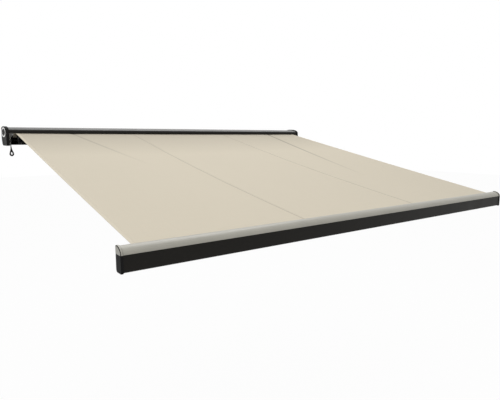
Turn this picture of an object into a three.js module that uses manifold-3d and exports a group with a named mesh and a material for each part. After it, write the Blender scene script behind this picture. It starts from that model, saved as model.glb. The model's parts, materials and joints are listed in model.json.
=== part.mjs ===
// Folding-arm awning with a closed cassette, drawn out to its full reach.
// Millimetres. X runs along the wall, +Y points into the wall and +Z is up.
// The origin is the middle of the centre wall bracket's rear face.
import * as THREE from "three";
import { mergeVertices } from "three/addons/utils/BufferGeometryUtils.js";
import Module from "manifold-3d";

const wasm = await Module();
wasm.setup();

// Overall sizes
const TOTAL_WIDTH = 3500;
const SLOPE = THREE.MathUtils.degToRad(11.3);
const GAP = 0.3; // air between two pieces that touch

// Cassette, in section
const CASSETTE_DEPTH = 235; // wall to the front of the lid
const CASSETTE_HEIGHT = 159;
const CASSETTE_CHAMFER = 34; // along the lower rear edge
const CASSETTE_BOTTOM = -77;
const MOUTH_HEIGHT = 106; // shelf underside to lid lip
const CASSETTE_WALL = 3;
const SHELF_SETBACK = 5;
const SHELF_LIP = 4;
const LID_HEM = 8;
const PLATE_THICKNESS = 5; // end plates
const CAP_WALL = 3;
const CAP_MARGIN = 8; // caps stand proud of the profiles
const CAP_OVERLAP = 8; // rim of a cap over the end of the profiles
const CAP_HOLLOW = 9.6; // room between end plate and cap
const CAP_CLEARANCE = 0.8; // between a cap's rim and the profiles
const CAP_ROUNDING = 70; // of a cap's lower rear corner
const TRIM_THICKNESS = 1.5;
const TRIM_LENGTH = 190;
const TRIM_HEIGHT = 88;
const TRIM_BAND = 12;
const TRIM_DROP = 2; // below the top of the cassette
const CAP_SCREW_RADIUS = 2.4;
const CAP_SCREW_HEAD_RADIUS = 5;
const CAP_SCREW_HEAD_HEIGHT = 2.5;
const CAP_SCREW_LENGTH = 18;

// Wall brackets
const BRACKET_WIDTH = 150;
const BRACKET_THICKNESS = 8;
const BRACKET_INSET = 290; // end of the cassette to the middle of an outer bracket
const BRACKET_HOOK_DEPTH = 22;
const BRACKET_HOOK_DROP = 9.4; // top of the cassette to the underside of the hook
const BRACKET_HOOK_THICKNESS = 7;
const BRACKET_LEDGE_DEPTH = 70;
const BRACKET_LEDGE_HEIGHT = 6;
const BRACKET_HOLE_RADIUS = 6;
const BRACKET_HOLE_SPACING = 100;
const BRACKET_HOLE_HEIGHT = 20;
const CLAMP_BOLT_RADIUS = 4;
const CLAMP_BOLT_HEAD_RADIUS = 7.5;
const CLAMP_BOLT_HEAD_HEIGHT = 5;
const CLAMP_BOLT_INSET = 18; // front of the ledge to the bolt

// Roller
const ROLLER_SETBACK = 62.8; // wall to roller axis
const ROLLER_HEIGHT = 21;
const TUBE_RADIUS = 35;
const TUBE_WALL = 1.5;
const WOUND_THICKNESS = 0.8; // turns that stay on the roller
const DRIVE_ROOM = 5; // gearbox to the roller tube
const IDLER_ROOM = 35; // roller tube to the end plate
const PLUG_DEPTH = 55;
const STUB_SQUARE = 13;
const STUB_RADIUS = 8;
const BUSH_WALL = 4;
const BUSH_FLANGE = 4;
const PLUG_FLANGE = 3;

// Winding gear
const GEAR_MODULE = 1.9;
const WHEEL_TEETH = 22;
const WORM_STARTS = 2;
const WORM_PITCH_RADIUS = 10;
const TOOTH_SHARE = 0.42; // tooth width as a share of the pitch
const TOOTH_HEAD = 1.8;
const TOOTH_FOOT = 2.3;
const WHEEL_WIDTH = 12;
const WORM_LENGTH = 28;
const WORM_SHAFT_RADIUS = 5.5;
const CRANK_LEAN = THREE.MathUtils.degToRad(15);
const CRANK_INSET = 53; // end of the cassette to the crank
const GEARBOX_HALF = 20; // crank to the inner side of the gearbox
const GEARBOX_WALL = 3.5;
const GEARBOX_NECK = 34; // worm centre to the end of the neck
const EYE_SLEEVE = 16;
const EYE_ROD_RADIUS = 4.8;
const EYE_ROD_LENGTH = 85;
const EYE_LENGTH = 82;
const EYE_WIDTH = 38;
const EYE_THICKNESS = 10;
const EYE_OPENING_WIDTH = 14;
const EYE_OPENING_HEIGHT = 26;
const CRANK_HOLE_RADIUS = 14; // opening for the crank in the shelf

// Folding arms
const ARM_LENGTH = 1480; // pivot to pivot
const ARM_ANGLE = THREE.MathUtils.degToRad(66.82); // from the wall, drawn out
const ARM_INSET = 150; // shoulder pivot to the end of the cassette
const SHOULDER_SETBACK = 128;
const SHOULDER_HEIGHT = -21.6;
const ARM_WIDTH = 36;
const ARM_HEIGHT = 44;
const ARM_WALL = 2.5;
const ARM_ROUNDING = 8;
const ARM_SPACING = 4; // between the two halves of a folded arm
const KNUCKLE_RADIUS = 24;
const KNUCKLE_LENGTH = 70;
const PLUG_LENGTH = 40;
const ELBOW_LENGTH = 110;
const ELBOW_ROOM = 27; // elbow pivot to the solid end of a casting
const LUG_THICKNESS = 8;
const PIN_RADIUS = 7.7;
const PIN_HEAD_RADIUS = 12.5;
const PIN_HEAD_HEIGHT = 2.5;
const PIN_FOOT = 6; // shoulder pin below its lower lug
const LUG_SIDE = 13; // upright web of a shoulder bracket
const BRACKET_FOOT_FRONT = 22; // foot ahead of the shoulder pivot
const BRACKET_FOOT_LOW = 24;
const BRACKET_FOOT_HIGH = 38;
const HAND_PLATE = 20;
const HAND_STANDOFF = 53; // hand pivot to the rear of the front rail
const HAND_ABOVE = 42;
const HAND_BELOW = 36;
const HAND_LUG = 6.5;

// Springs in the upper arms
const SPRING_RADIUS = 10.5;
const SPRING_LENGTH = 560;
const SPRING_ROD_RADIUS = 4;
const SPRING_ROD_OUT = 190;
const SPRING_ROD_IN = 120;
const SPRING_BLOCK_RADIUS = 8;
const SPRING_BLOCK_LENGTH = 26;
const STRAP_WIDTH = 20;
const STRAP_THICKNESS = 1.2;

// Front rail, in section
const RAIL_DEPTH = 58;
const RAIL_FACE = 83; // flat front face
const RAIL_CROWN = 36.3; // rounded top above the face
const RAIL_CROWN_DEPTH = 50;
const RAIL_WALL = 2.6;
const RAIL_CAP_THICKNESS = 13.7;
const RAIL_CAP_MARGIN = 4;
const RAIL_CAP_PLUG = 22;
const RAIL_RISE = 25.5; // edge of the crown above the hand pivot
const KEDER_RADIUS = 4.2;
const KEDER_TAIL = 1.6;
const KEDER_DROP = 12.4; // below the top of the crown
const KEDER_INSET = 9;

// Fabric
const FABRIC_MARGIN = 6; // end of the roller tube to the edge of the fabric
const FABRIC_THICKNESS = 1.2;
const SAG_MIDDLE = 24;
const SAG_EDGE = 4;

// Sizes that follow from these
const HALF_WIDTH = TOTAL_WIDTH / 2;
const CASSETTE_TOP = CASSETTE_BOTTOM + CASSETTE_HEIGHT;
const LIP_BOTTOM = CASSETTE_BOTTOM + MOUTH_HEIGHT;
const CASSETTE_BACK = -(BRACKET_THICKNESS + GAP);
const CASSETTE_FRONT = -CASSETTE_DEPTH;
const CAP_FACE = HALF_WIDTH - TRIM_THICKNESS - GAP;
const PLATE_OUT = CAP_FACE - CAP_WALL - CAP_HOLLOW;
const PLATE_IN = PLATE_OUT - PLATE_THICKNESS;
const PROFILE_END = PLATE_IN - GAP;
const ROLLER = new THREE.Vector3(0, -ROLLER_SETBACK, ROLLER_HEIGHT);
const CRANK_X = -HALF_WIDTH + CRANK_INSET;
const TUBE_LEFT = CRANK_X + GEARBOX_HALF + DRIVE_ROOM;
const TUBE_RIGHT = PROFILE_END - IDLER_ROOM;
const FABRIC_WIDTH = 2 * (-TUBE_LEFT - FABRIC_MARGIN);
const SHOULDER_X = HALF_WIDTH - ARM_INSET;
const ELBOW_OFFSET = ARM_WIDTH / 2 + ARM_SPACING / 2;
const ELBOW_X = Math.sqrt(ARM_LENGTH ** 2 - ELBOW_OFFSET ** 2);
const REACH = 2 * ARM_LENGTH * Math.sin(ARM_ANGLE);
const HAND_Y = -SHOULDER_SETBACK - REACH * Math.cos(SLOPE);
const HAND_Z = SHOULDER_HEIGHT - REACH * Math.sin(SLOPE);
const RAIL_BACK = HAND_Y - HAND_STANDOFF;
const RAIL_FRONT = RAIL_BACK - RAIL_DEPTH;
const RAIL_EDGE_Z = HAND_Z + RAIL_RISE;
const RAIL_END = HALF_WIDTH - RAIL_CAP_THICKNESS - GAP;
const PIN_HOLE = PIN_RADIUS + GAP;

// Finishes
const ANTHRACITE = [0x3a3d40, 0.45, 0.6];
const DARK_METAL = [0x232527, 0.5, 0.5];
const BRIGHT = [0xb9bcbf, 0.3, 0.9];
const STEEL = [0x8d9094, 0.35, 0.9];
const BLACK_PLASTIC = [0x1b1b1c, 0.6, 0.0];
const BRASS = [0xb08d4a, 0.35, 0.9];
const CANVAS = [0xe2d9c4, 0.9, 0.0];

const awning = new THREE.Group();

function addPiece(parent, name, geometry, [color, roughness, metalness]) {
  const material = new THREE.MeshStandardMaterial({ color, roughness, metalness });
  const mesh = new THREE.Mesh(geometry, material);
  mesh.name = name;
  parent.add(mesh);
  return mesh;
}

// Joining and cutting

function toSolid(geometry) {
  const bare = geometry.clone();
  bare.deleteAttribute("normal");
  bare.deleteAttribute("uv");
  const merged = mergeVertices(bare, 1e-4);
  const vertProperties = new Float32Array(merged.attributes.position.array);
  const triVerts = new Uint32Array(merged.index.array);
  return new wasm.Manifold(new wasm.Mesh({ numProp: 3, vertProperties, triVerts }));
}

function toGeometry(solid) {
  const mesh = solid.getMesh();
  const geometry = new THREE.BufferGeometry();
  const positions = new Float32Array(mesh.vertProperties);
  geometry.setAttribute("position", new THREE.BufferAttribute(positions, 3));
  geometry.setIndex(new THREE.BufferAttribute(new Uint32Array(mesh.triVerts), 1));
  return geometry;
}

function join(...geometries) {
  return geometries.map(toSolid).reduce((whole, next) => whole.add(next));
}

function cut(body, ...tools) {
  let solid = body;
  for (const tool of tools) {
    solid = solid.subtract(toSolid(tool));
  }
  return solid;
}

// Basic forms

function shapeOf(points) {
  return new THREE.Shape(points.map(([x, y]) => new THREE.Vector2(x, y)));
}

function circleShape(radius, x = 0, y = 0) {
  return new THREE.Shape().absarc(x, y, radius, 0, 2 * Math.PI, false);
}

function extrude(shape, low, high, curveSegments = 8) {
  const options = { depth: high - low, bevelEnabled: false, curveSegments };
  const geometry = new THREE.ExtrudeGeometry(shape, options);
  geometry.translate(0, 0, low);
  return geometry;
}

// Turns a form that is drawn in (X, Y) and runs along Z: drawn in (Y, Z), along X
function turnToX(geometry) {
  const yAxis = new THREE.Vector3(0, 1, 0);
  const zAxis = new THREE.Vector3(0, 0, 1);
  const xAxis = new THREE.Vector3(1, 0, 0);
  return geometry.applyMatrix4(new THREE.Matrix4().makeBasis(yAxis, zAxis, xAxis));
}

function alongX(shape, low, high, curveSegments = 8) {
  return turnToX(extrude(shape, low, high, curveSegments));
}

function boxBetween([x0, x1], [y0, y1], [z0, z1]) {
  const geometry = new THREE.BoxGeometry(x1 - x0, y1 - y0, z1 - z0);
  geometry.translate((x0 + x1) / 2, (y0 + y1) / 2, (z0 + z1) / 2);
  return geometry;
}

function roundedRectangle(width, height, radius) {
  const w = width / 2;
  const h = height / 2;
  const r = Math.min(radius, w * 0.9, h * 0.9);
  const shape = new THREE.Shape();
  shape.moveTo(-w + r, -h);
  shape.lineTo(w - r, -h);
  shape.absarc(w - r, -h + r, r, -Math.PI / 2, 0, false);
  shape.lineTo(w, h - r);
  shape.absarc(w - r, h - r, r, 0, Math.PI / 2, false);
  shape.lineTo(-w + r, h);
  shape.absarc(-w + r, h - r, r, Math.PI / 2, Math.PI, false);
  shape.lineTo(-w, -h + r);
  shape.absarc(-w + r, -h + r, r, Math.PI, 1.5 * Math.PI, false);
  return shape;
}

// A turned form about the X axis, from (distance along X, radius) points
function turnedAlongX(points, segments = 32) {
  const profile = points.map(([x, radius]) => new THREE.Vector2(radius, x));
  const geometry = new THREE.LatheGeometry(profile, segments);
  geometry.rotateZ(-Math.PI / 2);
  return geometry;
}

// A sheet of even thickness that follows a line; it thickens to the line's left
function sheetOutline(line, thickness) {
  const points = line.map(([x, y]) => new THREE.Vector2(x, y));
  const last = points.length - 1;
  const inner = points.map((point, i) => {
    const before = points[Math.max(i - 1, 0)];
    const after = points[Math.min(i + 1, last)];
    const arriving = i > 0 ? point.clone().sub(before).normalize() : null;
    const leaving = i < last ? after.clone().sub(point).normalize() : null;
    const first = arriving ?? leaving;
    const second = leaving ?? arriving;
    const normal = new THREE.Vector2(-first.y - second.y, first.x + second.x);
    normal.multiplyScalar(thickness / (1 + first.dot(second)));
    return point.clone().add(normal);
  });
  return new THREE.Shape([...points, ...inner.reverse()]);
}

// The crown of the cassette from its rear edge to the lid's lip, grown outwards by a margin
function crownLine(margin, backMargin, frontMargin) {
  const back = CASSETTE_BACK + backMargin;
  const front = CASSETTE_FRONT - frontMargin;
  const top = CASSETTE_TOP + margin;
  const crest = (back + front) / 2 + 10;
  const curve = new THREE.Path();
  curve.moveTo(back - 6, top - 14);
  curve.quadraticCurveTo(back - 45, top, crest, top);
  curve.bezierCurveTo(crest - 65, top, front + 6, top - 13, front, LIP_BOTTOM + 16);
  const curved = curve.getPoints(5).map((point) => [point.x, point.y]);
  return [[back, top - 16], ...curved, [front, LIP_BOTTOM]];
}

function cassetteOutline(margin, backMargin, frontMargin, rounding = 0) {
  const back = CASSETTE_BACK + backMargin;
  const bottom = CASSETTE_BOTTOM - margin;
  const front = CASSETTE_FRONT - frontMargin;
  const corner = [[back - CASSETTE_CHAMFER, bottom], [back, bottom + CASSETTE_CHAMFER]];
  const from = new THREE.Vector2(back - rounding, bottom);
  const to = new THREE.Vector2(back, bottom + rounding);
  const round = new THREE.QuadraticBezierCurve(from, new THREE.Vector2(back, bottom), to);
  return shapeOf([
    ...(rounding > 0 ? round.getPoints(5).map((point) => [point.x, point.y]) : corner),
    ...crownLine(margin, backMargin, frontMargin),
    [front, CASSETTE_BOTTOM + 14],
    [front + 4, bottom],
  ]);
}

// Cassette: rear profile with its shelf, and the lid

const backSeam = CASSETTE_TOP - 26;

function buildProfiles() {
  const shelfFront = CASSETTE_FRONT + SHELF_SETBACK;
  const shelfLine = [
    [shelfFront, CASSETTE_BOTTOM + SHELF_LIP],
    [shelfFront, CASSETTE_BOTTOM],
    [CASSETTE_BACK - CASSETTE_CHAMFER, CASSETTE_BOTTOM],
    [CASSETTE_BACK, CASSETTE_BOTTOM + CASSETTE_CHAMFER],
    [CASSETTE_BACK, backSeam - GAP],
  ];
  const shelf = alongX(sheetOutline(shelfLine, CASSETTE_WALL), -PROFILE_END, PROFILE_END);
  const crankHole = extrude(circleShape(CRANK_HOLE_RADIUS), -160, -60);
  crankHole.rotateX(-CRANK_LEAN);
  crankHole.translate(CRANK_X, wormCentre.y, wormCentre.z);
  addPiece(awning, "cassette_back_profile", toGeometry(cut(toSolid(shelf), crankHole)), ANTHRACITE);

  const crown = crownLine(0, 0, 0);
  const lidLine = [[CASSETTE_BACK, backSeam], ...crown, [CASSETTE_FRONT + LID_HEM, LIP_BOTTOM]];
  const lid = alongX(sheetOutline(lidLine, CASSETTE_WALL), -PROFILE_END, PROFILE_END);
  addPiece(awning, "cassette_lid", lid, ANTHRACITE);
}

// Cassette ends: a load-bearing plate, a hollow cap over it, an oval trim ring and a screw

const screwPlace = { y: CASSETTE_BACK - 30, z: CASSETTE_BOTTOM + 24 };
const trimCentre = {
  y: (CASSETTE_BACK + CASSETTE_FRONT) / 2,
  z: CASSETTE_TOP - TRIM_HEIGHT / 2 - TRIM_DROP,
};

function ellipseShape(width, height) {
  const shape = new THREE.Shape();
  shape.absellipse(trimCentre.y, trimCentre.z, width / 2, height / 2, 0, 2 * Math.PI, false, 0);
  return shape;
}

function buildEnd(name, side, bearingRadius) {
  const at = (low, high) => (side > 0 ? [low, high] : [-high, -low]);
  const along = (shape, low, high, segments) => alongX(shape, ...at(low, high), segments);
  const screwHole = (low, high) =>
    along(circleShape(CAP_SCREW_RADIUS + GAP, screwPlace.y, screwPlace.z), low, high, 8);

  const plate = along(cassetteOutline(0, 0, 0), PLATE_IN, PLATE_OUT);
  const bearing = along(circleShape(bearingRadius, ROLLER.y, ROLLER.z), PLATE_IN - 5, PLATE_OUT + 5);
  const plateSolid = cut(toSolid(plate), bearing, screwHole(PLATE_IN - 5, PLATE_OUT + 5));
  addPiece(awning, `${name}_end_plate`, toGeometry(plateSolid), STEEL);

  const capRim = PLATE_IN - CAP_OVERLAP;
  const pocketEnd = CAP_FACE - CAP_WALL;
  const outerShape = cassetteOutline(CAP_MARGIN, CAP_MARGIN - 1, 3.4, CAP_ROUNDING);
  const outer = along(outerShape, capRim, CAP_FACE);
  const pocketShape = cassetteOutline(CAP_CLEARANCE, CAP_CLEARANCE, CAP_CLEARANCE / 2);
  const pocket = along(pocketShape, capRim - 5, pocketEnd);
  const bossShape = circleShape(CAP_SCREW_RADIUS + 4, screwPlace.y, screwPlace.z);
  const boss = along(bossShape, PLATE_OUT + GAP, pocketEnd + 1);
  const cap = cut(cut(toSolid(outer), pocket).add(toSolid(boss)), screwHole(PLATE_OUT, CAP_FACE + 5));
  addPiece(awning, `${name}_end_cap`, toGeometry(cap), BLACK_PLASTIC);

  const ring = ellipseShape(TRIM_LENGTH, TRIM_HEIGHT);
  ring.holes.push(ellipseShape(TRIM_LENGTH - 2 * TRIM_BAND, TRIM_HEIGHT - 2 * TRIM_BAND));
  const trim = along(ring, CAP_FACE + GAP, CAP_FACE + GAP + TRIM_THICKNESS, 12);
  addPiece(awning, `${name}_cap_trim`, trim, BRIGHT);

  const head = CAP_FACE + GAP;
  const screw = turnedAlongX([
    [head - CAP_SCREW_LENGTH, 0],
    [head - CAP_SCREW_LENGTH, CAP_SCREW_RADIUS],
    [head, CAP_SCREW_RADIUS],
    [head, CAP_SCREW_HEAD_RADIUS],
    [head + CAP_SCREW_HEAD_HEIGHT / 2, CAP_SCREW_HEAD_RADIUS],
    [head + CAP_SCREW_HEAD_HEIGHT, 0],
  ], 12);
  const screwMesh = addPiece(awning, `${name}_cap_screw`, screw, STEEL);
  screwMesh.position.set(0, screwPlace.y, screwPlace.z);
  screwMesh.rotation.y = side > 0 ? 0 : Math.PI;
}

// Wall brackets, each with a clamp bolt from below

function buildWallBracket(name, x) {
  const bracket = new THREE.Group();
  bracket.position.x = x;
  awning.add(bracket);
  const ledgeTop = CASSETTE_BOTTOM - GAP;
  const ledgeLow = ledgeTop - BRACKET_LEDGE_HEIGHT;
  const hookBack = CASSETTE_BACK + GAP;
  const hookLow = CASSETTE_TOP - BRACKET_HOOK_DROP + GAP;
  const hookTop = hookLow + BRACKET_HOOK_THICKNESS;
  const outline = shapeOf([
    [0, ledgeLow],
    [0, hookTop],
    [hookBack - BRACKET_HOOK_DEPTH, hookTop],
    [hookBack - BRACKET_HOOK_DEPTH, hookLow],
    [hookBack - 6, hookLow - 4],
    [hookBack, hookLow - 6],
    [hookBack, ledgeTop],
    [-BRACKET_LEDGE_DEPTH, ledgeTop],
    [-BRACKET_LEDGE_DEPTH, ledgeLow],
  ]);
  const body = alongX(outline, -BRACKET_WIDTH / 2, BRACKET_WIDTH / 2);
  const boltY = -BRACKET_LEDGE_DEPTH + CLAMP_BOLT_INSET;
  const boltHole = extrude(circleShape(CLAMP_BOLT_RADIUS + GAP, 0, boltY), ledgeLow - 5, ledgeTop + 5);
  const wallHoles = [-1, 1].map((side) => {
    const hole = extrude(circleShape(BRACKET_HOLE_RADIUS), -1, BRACKET_THICKNESS + 5);
    hole.rotateX(Math.PI / 2);
    hole.translate((side * BRACKET_HOLE_SPACING) / 2, 0, BRACKET_HOLE_HEIGHT);
    return hole;
  });
  const solid = cut(toSolid(body), boltHole, ...wallHoles);
  addPiece(bracket, `${name}_wall_bracket`, toGeometry(solid), DARK_METAL);

  const headHigh = ledgeLow - GAP;
  const head = circleShape(CLAMP_BOLT_HEAD_RADIUS, 0, boltY);
  const bolt = join(
    extrude(head, headHigh - CLAMP_BOLT_HEAD_HEIGHT, headHigh, 3),
    extrude(circleShape(CLAMP_BOLT_RADIUS, 0, boltY), headHigh - 1, ledgeTop, 6),
  );
  addPiece(bracket, `${name}_clamp_bolt`, toGeometry(bolt), STEEL);
}

// Winding gear: a two-start worm on the crank drives a wheel on the roller

const PITCH = Math.PI * GEAR_MODULE;
const LEAD = WORM_STARTS * PITCH;
const WHEEL_PITCH_RADIUS = (GEAR_MODULE * WHEEL_TEETH) / 2;
const GEAR_DISTANCE = WHEEL_PITCH_RADIUS + WORM_PITCH_RADIUS + GAP;
const WORM_TIP = WORM_PITCH_RADIUS + TOOTH_HEAD;
const WHEEL_TIP = WHEEL_PITCH_RADIUS + TOOTH_HEAD;
const wormCentre = new THREE.Vector3(
  CRANK_X,
  ROLLER.y - GEAR_DISTANCE * Math.cos(CRANK_LEAN),
  ROLLER.z + GEAR_DISTANCE * Math.sin(CRANK_LEAN),
);

// Corners of a tooth: its place across the pitch, as a share of it, and its height
const toothCorners = [
  [-TOOTH_SHARE / 2 - 0.1, -TOOTH_FOOT],
  [-TOOTH_SHARE / 2 + 0.09, TOOTH_HEAD],
  [TOOTH_SHARE / 2 - 0.09, TOOTH_HEAD],
  [TOOTH_SHARE / 2 + 0.1, -TOOTH_FOOT],
];

function toothedShape(teeth, pitchRadius, firstAngle, extraCorners = []) {
  const corners = [...toothCorners, ...extraCorners];
  const points = [];
  for (let tooth = 0; tooth < teeth; tooth++) {
    for (const [share, height] of corners) {
      const angle = firstAngle + (2 * Math.PI * (tooth + share)) / teeth;
      const radius = pitchRadius + height;
      points.push([radius * Math.cos(angle), radius * Math.sin(angle)]);
    }
  }
  return shapeOf(points);
}

// A section that turns as it rises, a straight prism where the turn is zero
function twistedPrism(shape, length, turn, steps) {
  const options = { depth: length, bevelEnabled: false, steps };
  const geometry = new THREE.ExtrudeGeometry(shape, options);
  geometry.translate(0, 0, -length / 2);
  const place = geometry.attributes.position;
  const point = new THREE.Vector3();
  const up = new THREE.Vector3(0, 0, 1);
  for (let i = 0; i < place.count; i++) {
    point.fromBufferAttribute(place, i);
    point.applyAxisAngle(up, (turn * point.z) / length);
    place.setXYZ(i, point.x, point.y, point.z);
  }
  return geometry;
}

function buildGearbox() {
  const gearbox = new THREE.Group();
  gearbox.position.copy(wormCentre);
  gearbox.rotation.x = -CRANK_LEAN;
  awning.add(gearbox);

  // In this group the crank hangs down its -Z and the roller lies on +Y
  const outer = -PROFILE_END - CRANK_X - GAP;
  const wormClear = WORM_TIP + 0.8;
  const neck = wormClear + GEARBOX_WALL;
  const wheelRoom = WHEEL_TIP + 1.5;
  const far = GEAR_DISTANCE + wheelRoom + GEARBOX_WALL;
  const tall = wheelRoom + GEARBOX_WALL;
  const outline = shapeOf([
    [-neck, -GEARBOX_NECK],
    [neck, -GEARBOX_NECK],
    [neck + 4, -tall],
    [far - 12, -tall + 2],
    [far, -tall + 14],
    [far, tall - 14],
    [far - 12, tall - 2],
    [neck, tall],
    [-neck + 4, tall],
    [-neck, tall - 4],
  ]);
  const wormHalf = WORM_LENGTH / 2;
  const wheelHalf = WHEEL_WIDTH / 2 + 2;
  const wormRoom = extrude(circleShape(wormClear), -wormHalf - 2, wormHalf + 2);
  const shaftHole = circleShape(WORM_SHAFT_RADIUS + GAP);
  const shaftRoom = extrude(shaftHole, -GEARBOX_NECK - 5, wormHalf + 9);
  const wheelCavity = alongX(circleShape(wheelRoom, GEAR_DISTANCE, 0), -wheelHalf, wheelHalf);
  const stubRoom = alongX(
    circleShape(STUB_SQUARE / Math.SQRT2 + GAP, GEAR_DISTANCE, 0),
    outer - 5,
    GEARBOX_HALF + 5,
  );
  const rooms = [wormRoom, shaftRoom, wheelCavity, stubRoom];
  const housing = cut(toSolid(alongX(outline, outer, -GAP / 2)), ...rooms);
  const cover = cut(toSolid(alongX(outline, GAP / 2, GEARBOX_HALF)), ...rooms);
  addPiece(gearbox, "gearbox_housing", toGeometry(housing), DARK_METAL);
  addPiece(gearbox, "gearbox_cover", toGeometry(cover), DARK_METAL);

  // Worm and shaft in one piece; a tooth faces the wheel
  const rounding = [[0.5 - 0.1, -TOOTH_FOOT], [0.5 + 0.1, -TOOTH_FOOT]];
  const wormShape = toothedShape(WORM_STARTS, WORM_PITCH_RADIUS, Math.PI / 2, rounding);
  const wormTurn = (2 * Math.PI * WORM_LENGTH) / LEAD;
  const worm = twistedPrism(wormShape, WORM_LENGTH, wormTurn, 30);
  const shaftEnd = -GEARBOX_NECK - EYE_SLEEVE;
  const shaft = extrude(circleShape(WORM_SHAFT_RADIUS), shaftEnd, wormHalf + 8, 8);
  addPiece(gearbox, "worm_shaft", toGeometry(join(worm, shaft)), STEEL);

  // The wheel's teeth lean with the worm's thread; a gap between teeth faces the worm
  const wheelStart = Math.PI + Math.PI / WHEEL_TEETH;
  const wheelShape = toothedShape(WHEEL_TEETH, WHEEL_PITCH_RADIUS, wheelStart);
  const square = STUB_SQUARE / 2 + GAP;
  const leadAngle = Math.atan(LEAD / (2 * Math.PI * WORM_PITCH_RADIUS));
  const wheelTurn = (WHEEL_WIDTH * Math.tan(leadAngle)) / WHEEL_PITCH_RADIUS;
  const wheel = cut(
    toSolid(twistedPrism(wheelShape, WHEEL_WIDTH, wheelTurn, 1)),
    boxBetween([-square, square], [-square, square], [-WHEEL_WIDTH, WHEEL_WIDTH]),
  );
  const wheelMesh = addPiece(gearbox, "worm_wheel", turnToX(toGeometry(wheel)), BRASS);
  wheelMesh.position.y = GEAR_DISTANCE;

  buildCrankEye(gearbox, -GEARBOX_NECK - GAP);
}

// The eye that the crank hooks into: a sleeve, a rod and a thick drop with a small opening
function buildCrankEye(gearbox, sleeveTop) {
  const sleeveRadius = WORM_SHAFT_RADIUS + GAP + 2;
  const shaftEnd = -GEARBOX_NECK - EYE_SLEEVE;
  const rodEnd = shaftEnd - EYE_ROD_LENGTH;
  const half = EYE_WIDTH / 2;
  const centre = rodEnd - EYE_LENGTH + half;
  const narrow = EYE_ROD_RADIUS - 1;
  const drop = new THREE.Shape();
  drop.moveTo(-narrow, rodEnd + 4);
  drop.bezierCurveTo(-narrow, rodEnd - EYE_LENGTH * 0.3, -half, centre + half * 0.8, -half, centre);
  drop.absarc(0, centre, half, Math.PI, 2 * Math.PI, false);
  drop.bezierCurveTo(half, centre + half * 0.8, narrow, rodEnd - EYE_LENGTH * 0.3, narrow, rodEnd + 4);
  const opening = new THREE.Shape();
  const openingCentre = centre + EYE_OPENING_HEIGHT / 2 - EYE_OPENING_WIDTH / 2;
  const [across, high] = [EYE_OPENING_WIDTH / 2, EYE_OPENING_HEIGHT / 2];
  opening.absellipse(0, openingCentre, across, high, 0, 2 * Math.PI, false, 0);
  drop.holes.push(opening);
  const plate = extrude(drop, -EYE_THICKNESS / 2, EYE_THICKNESS / 2, 7);
  plate.rotateX(Math.PI / 2);
  const eye = cut(
    join(
      extrude(circleShape(sleeveRadius), shaftEnd - 4, sleeveTop, 10),
      extrude(circleShape(EYE_ROD_RADIUS), rodEnd, shaftEnd - 2, 10),
      plate,
    ),
    extrude(circleShape(WORM_SHAFT_RADIUS + GAP), shaftEnd - GAP, sleeveTop + 5, 8),
  );
  addPiece(gearbox, "crank_eye", toGeometry(eye), BRIGHT);
}

// Roller: tube, the turns left on it, and a plug at each end

function buildRoller() {
  const roller = new THREE.Group();
  roller.position.copy(ROLLER);
  awning.add(roller);
  const bore = TUBE_RADIUS - TUBE_WALL;
  const tube = turnedAlongX([
    [TUBE_LEFT, bore],
    [TUBE_LEFT, TUBE_RADIUS],
    [TUBE_RIGHT, TUBE_RADIUS],
    [TUBE_RIGHT, bore],
    [TUBE_LEFT, bore],
  ]);
  addPiece(roller, "roller_tube", tube, BRIGHT);

  const turnsInside = TUBE_RADIUS + GAP;
  const turns = turnedAlongX([
    [-FABRIC_WIDTH / 2, turnsInside],
    [-FABRIC_WIDTH / 2, turnsInside + WOUND_THICKNESS],
    [FABRIC_WIDTH / 2, turnsInside + WOUND_THICKNESS],
    [FABRIC_WIDTH / 2, turnsInside],
    [-FABRIC_WIDTH / 2, turnsInside],
  ]);
  addPiece(roller, "fabric_roll", turns, CANVAS);

  const plugRadius = bore - GAP;
  const square = STUB_SQUARE / 2;
  const drivePlug = join(
    turnedAlongX([
      [TUBE_LEFT - GAP - PLUG_FLANGE, 0],
      [TUBE_LEFT - GAP - PLUG_FLANGE, TUBE_RADIUS],
      [TUBE_LEFT - GAP, TUBE_RADIUS],
      [TUBE_LEFT - GAP, plugRadius],
      [TUBE_LEFT + PLUG_DEPTH, plugRadius],
      [TUBE_LEFT + PLUG_DEPTH, 0],
    ]),
    boxBetween([-PROFILE_END, TUBE_LEFT], [-square, square], [-square, square]),
  );
  const drive = addPiece(roller, "drive_plug", toGeometry(drivePlug), BLACK_PLASTIC);
  drive.rotation.x = -CRANK_LEAN;

  const idlerPlug = turnedAlongX([
    [TUBE_RIGHT - PLUG_DEPTH, 0],
    [TUBE_RIGHT - PLUG_DEPTH, plugRadius],
    [TUBE_RIGHT + GAP, plugRadius],
    [TUBE_RIGHT + GAP, TUBE_RADIUS],
    [TUBE_RIGHT + GAP + PLUG_FLANGE, TUBE_RADIUS],
    [TUBE_RIGHT + GAP + PLUG_FLANGE, STUB_RADIUS],
    [PLATE_OUT, STUB_RADIUS],
    [PLATE_OUT, 0],
  ], 24);
  addPiece(roller, "idler_plug", idlerPlug, BLACK_PLASTIC);

  const bushBore = STUB_RADIUS + GAP;
  const bushRadius = bushBore + BUSH_WALL;
  const flangeOut = PLATE_IN - GAP;
  const bush = turnedAlongX([
    [flangeOut - BUSH_FLANGE, bushBore],
    [flangeOut - BUSH_FLANGE, bushRadius + 4],
    [flangeOut, bushRadius + 4],
    [flangeOut, bushRadius],
    [PLATE_OUT + 2, bushRadius],
    [PLATE_OUT + 2, bushBore],
    [flangeOut - BUSH_FLANGE, bushBore],
  ], 24);
  addPiece(roller, "idler_bush", bush, BLACK_PLASTIC);
}

// Folding arms. Each half is drawn with X along its tube from the near pivot,
// and Z along the hinge pins. The elbow pivot lies beside the tube.

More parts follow.
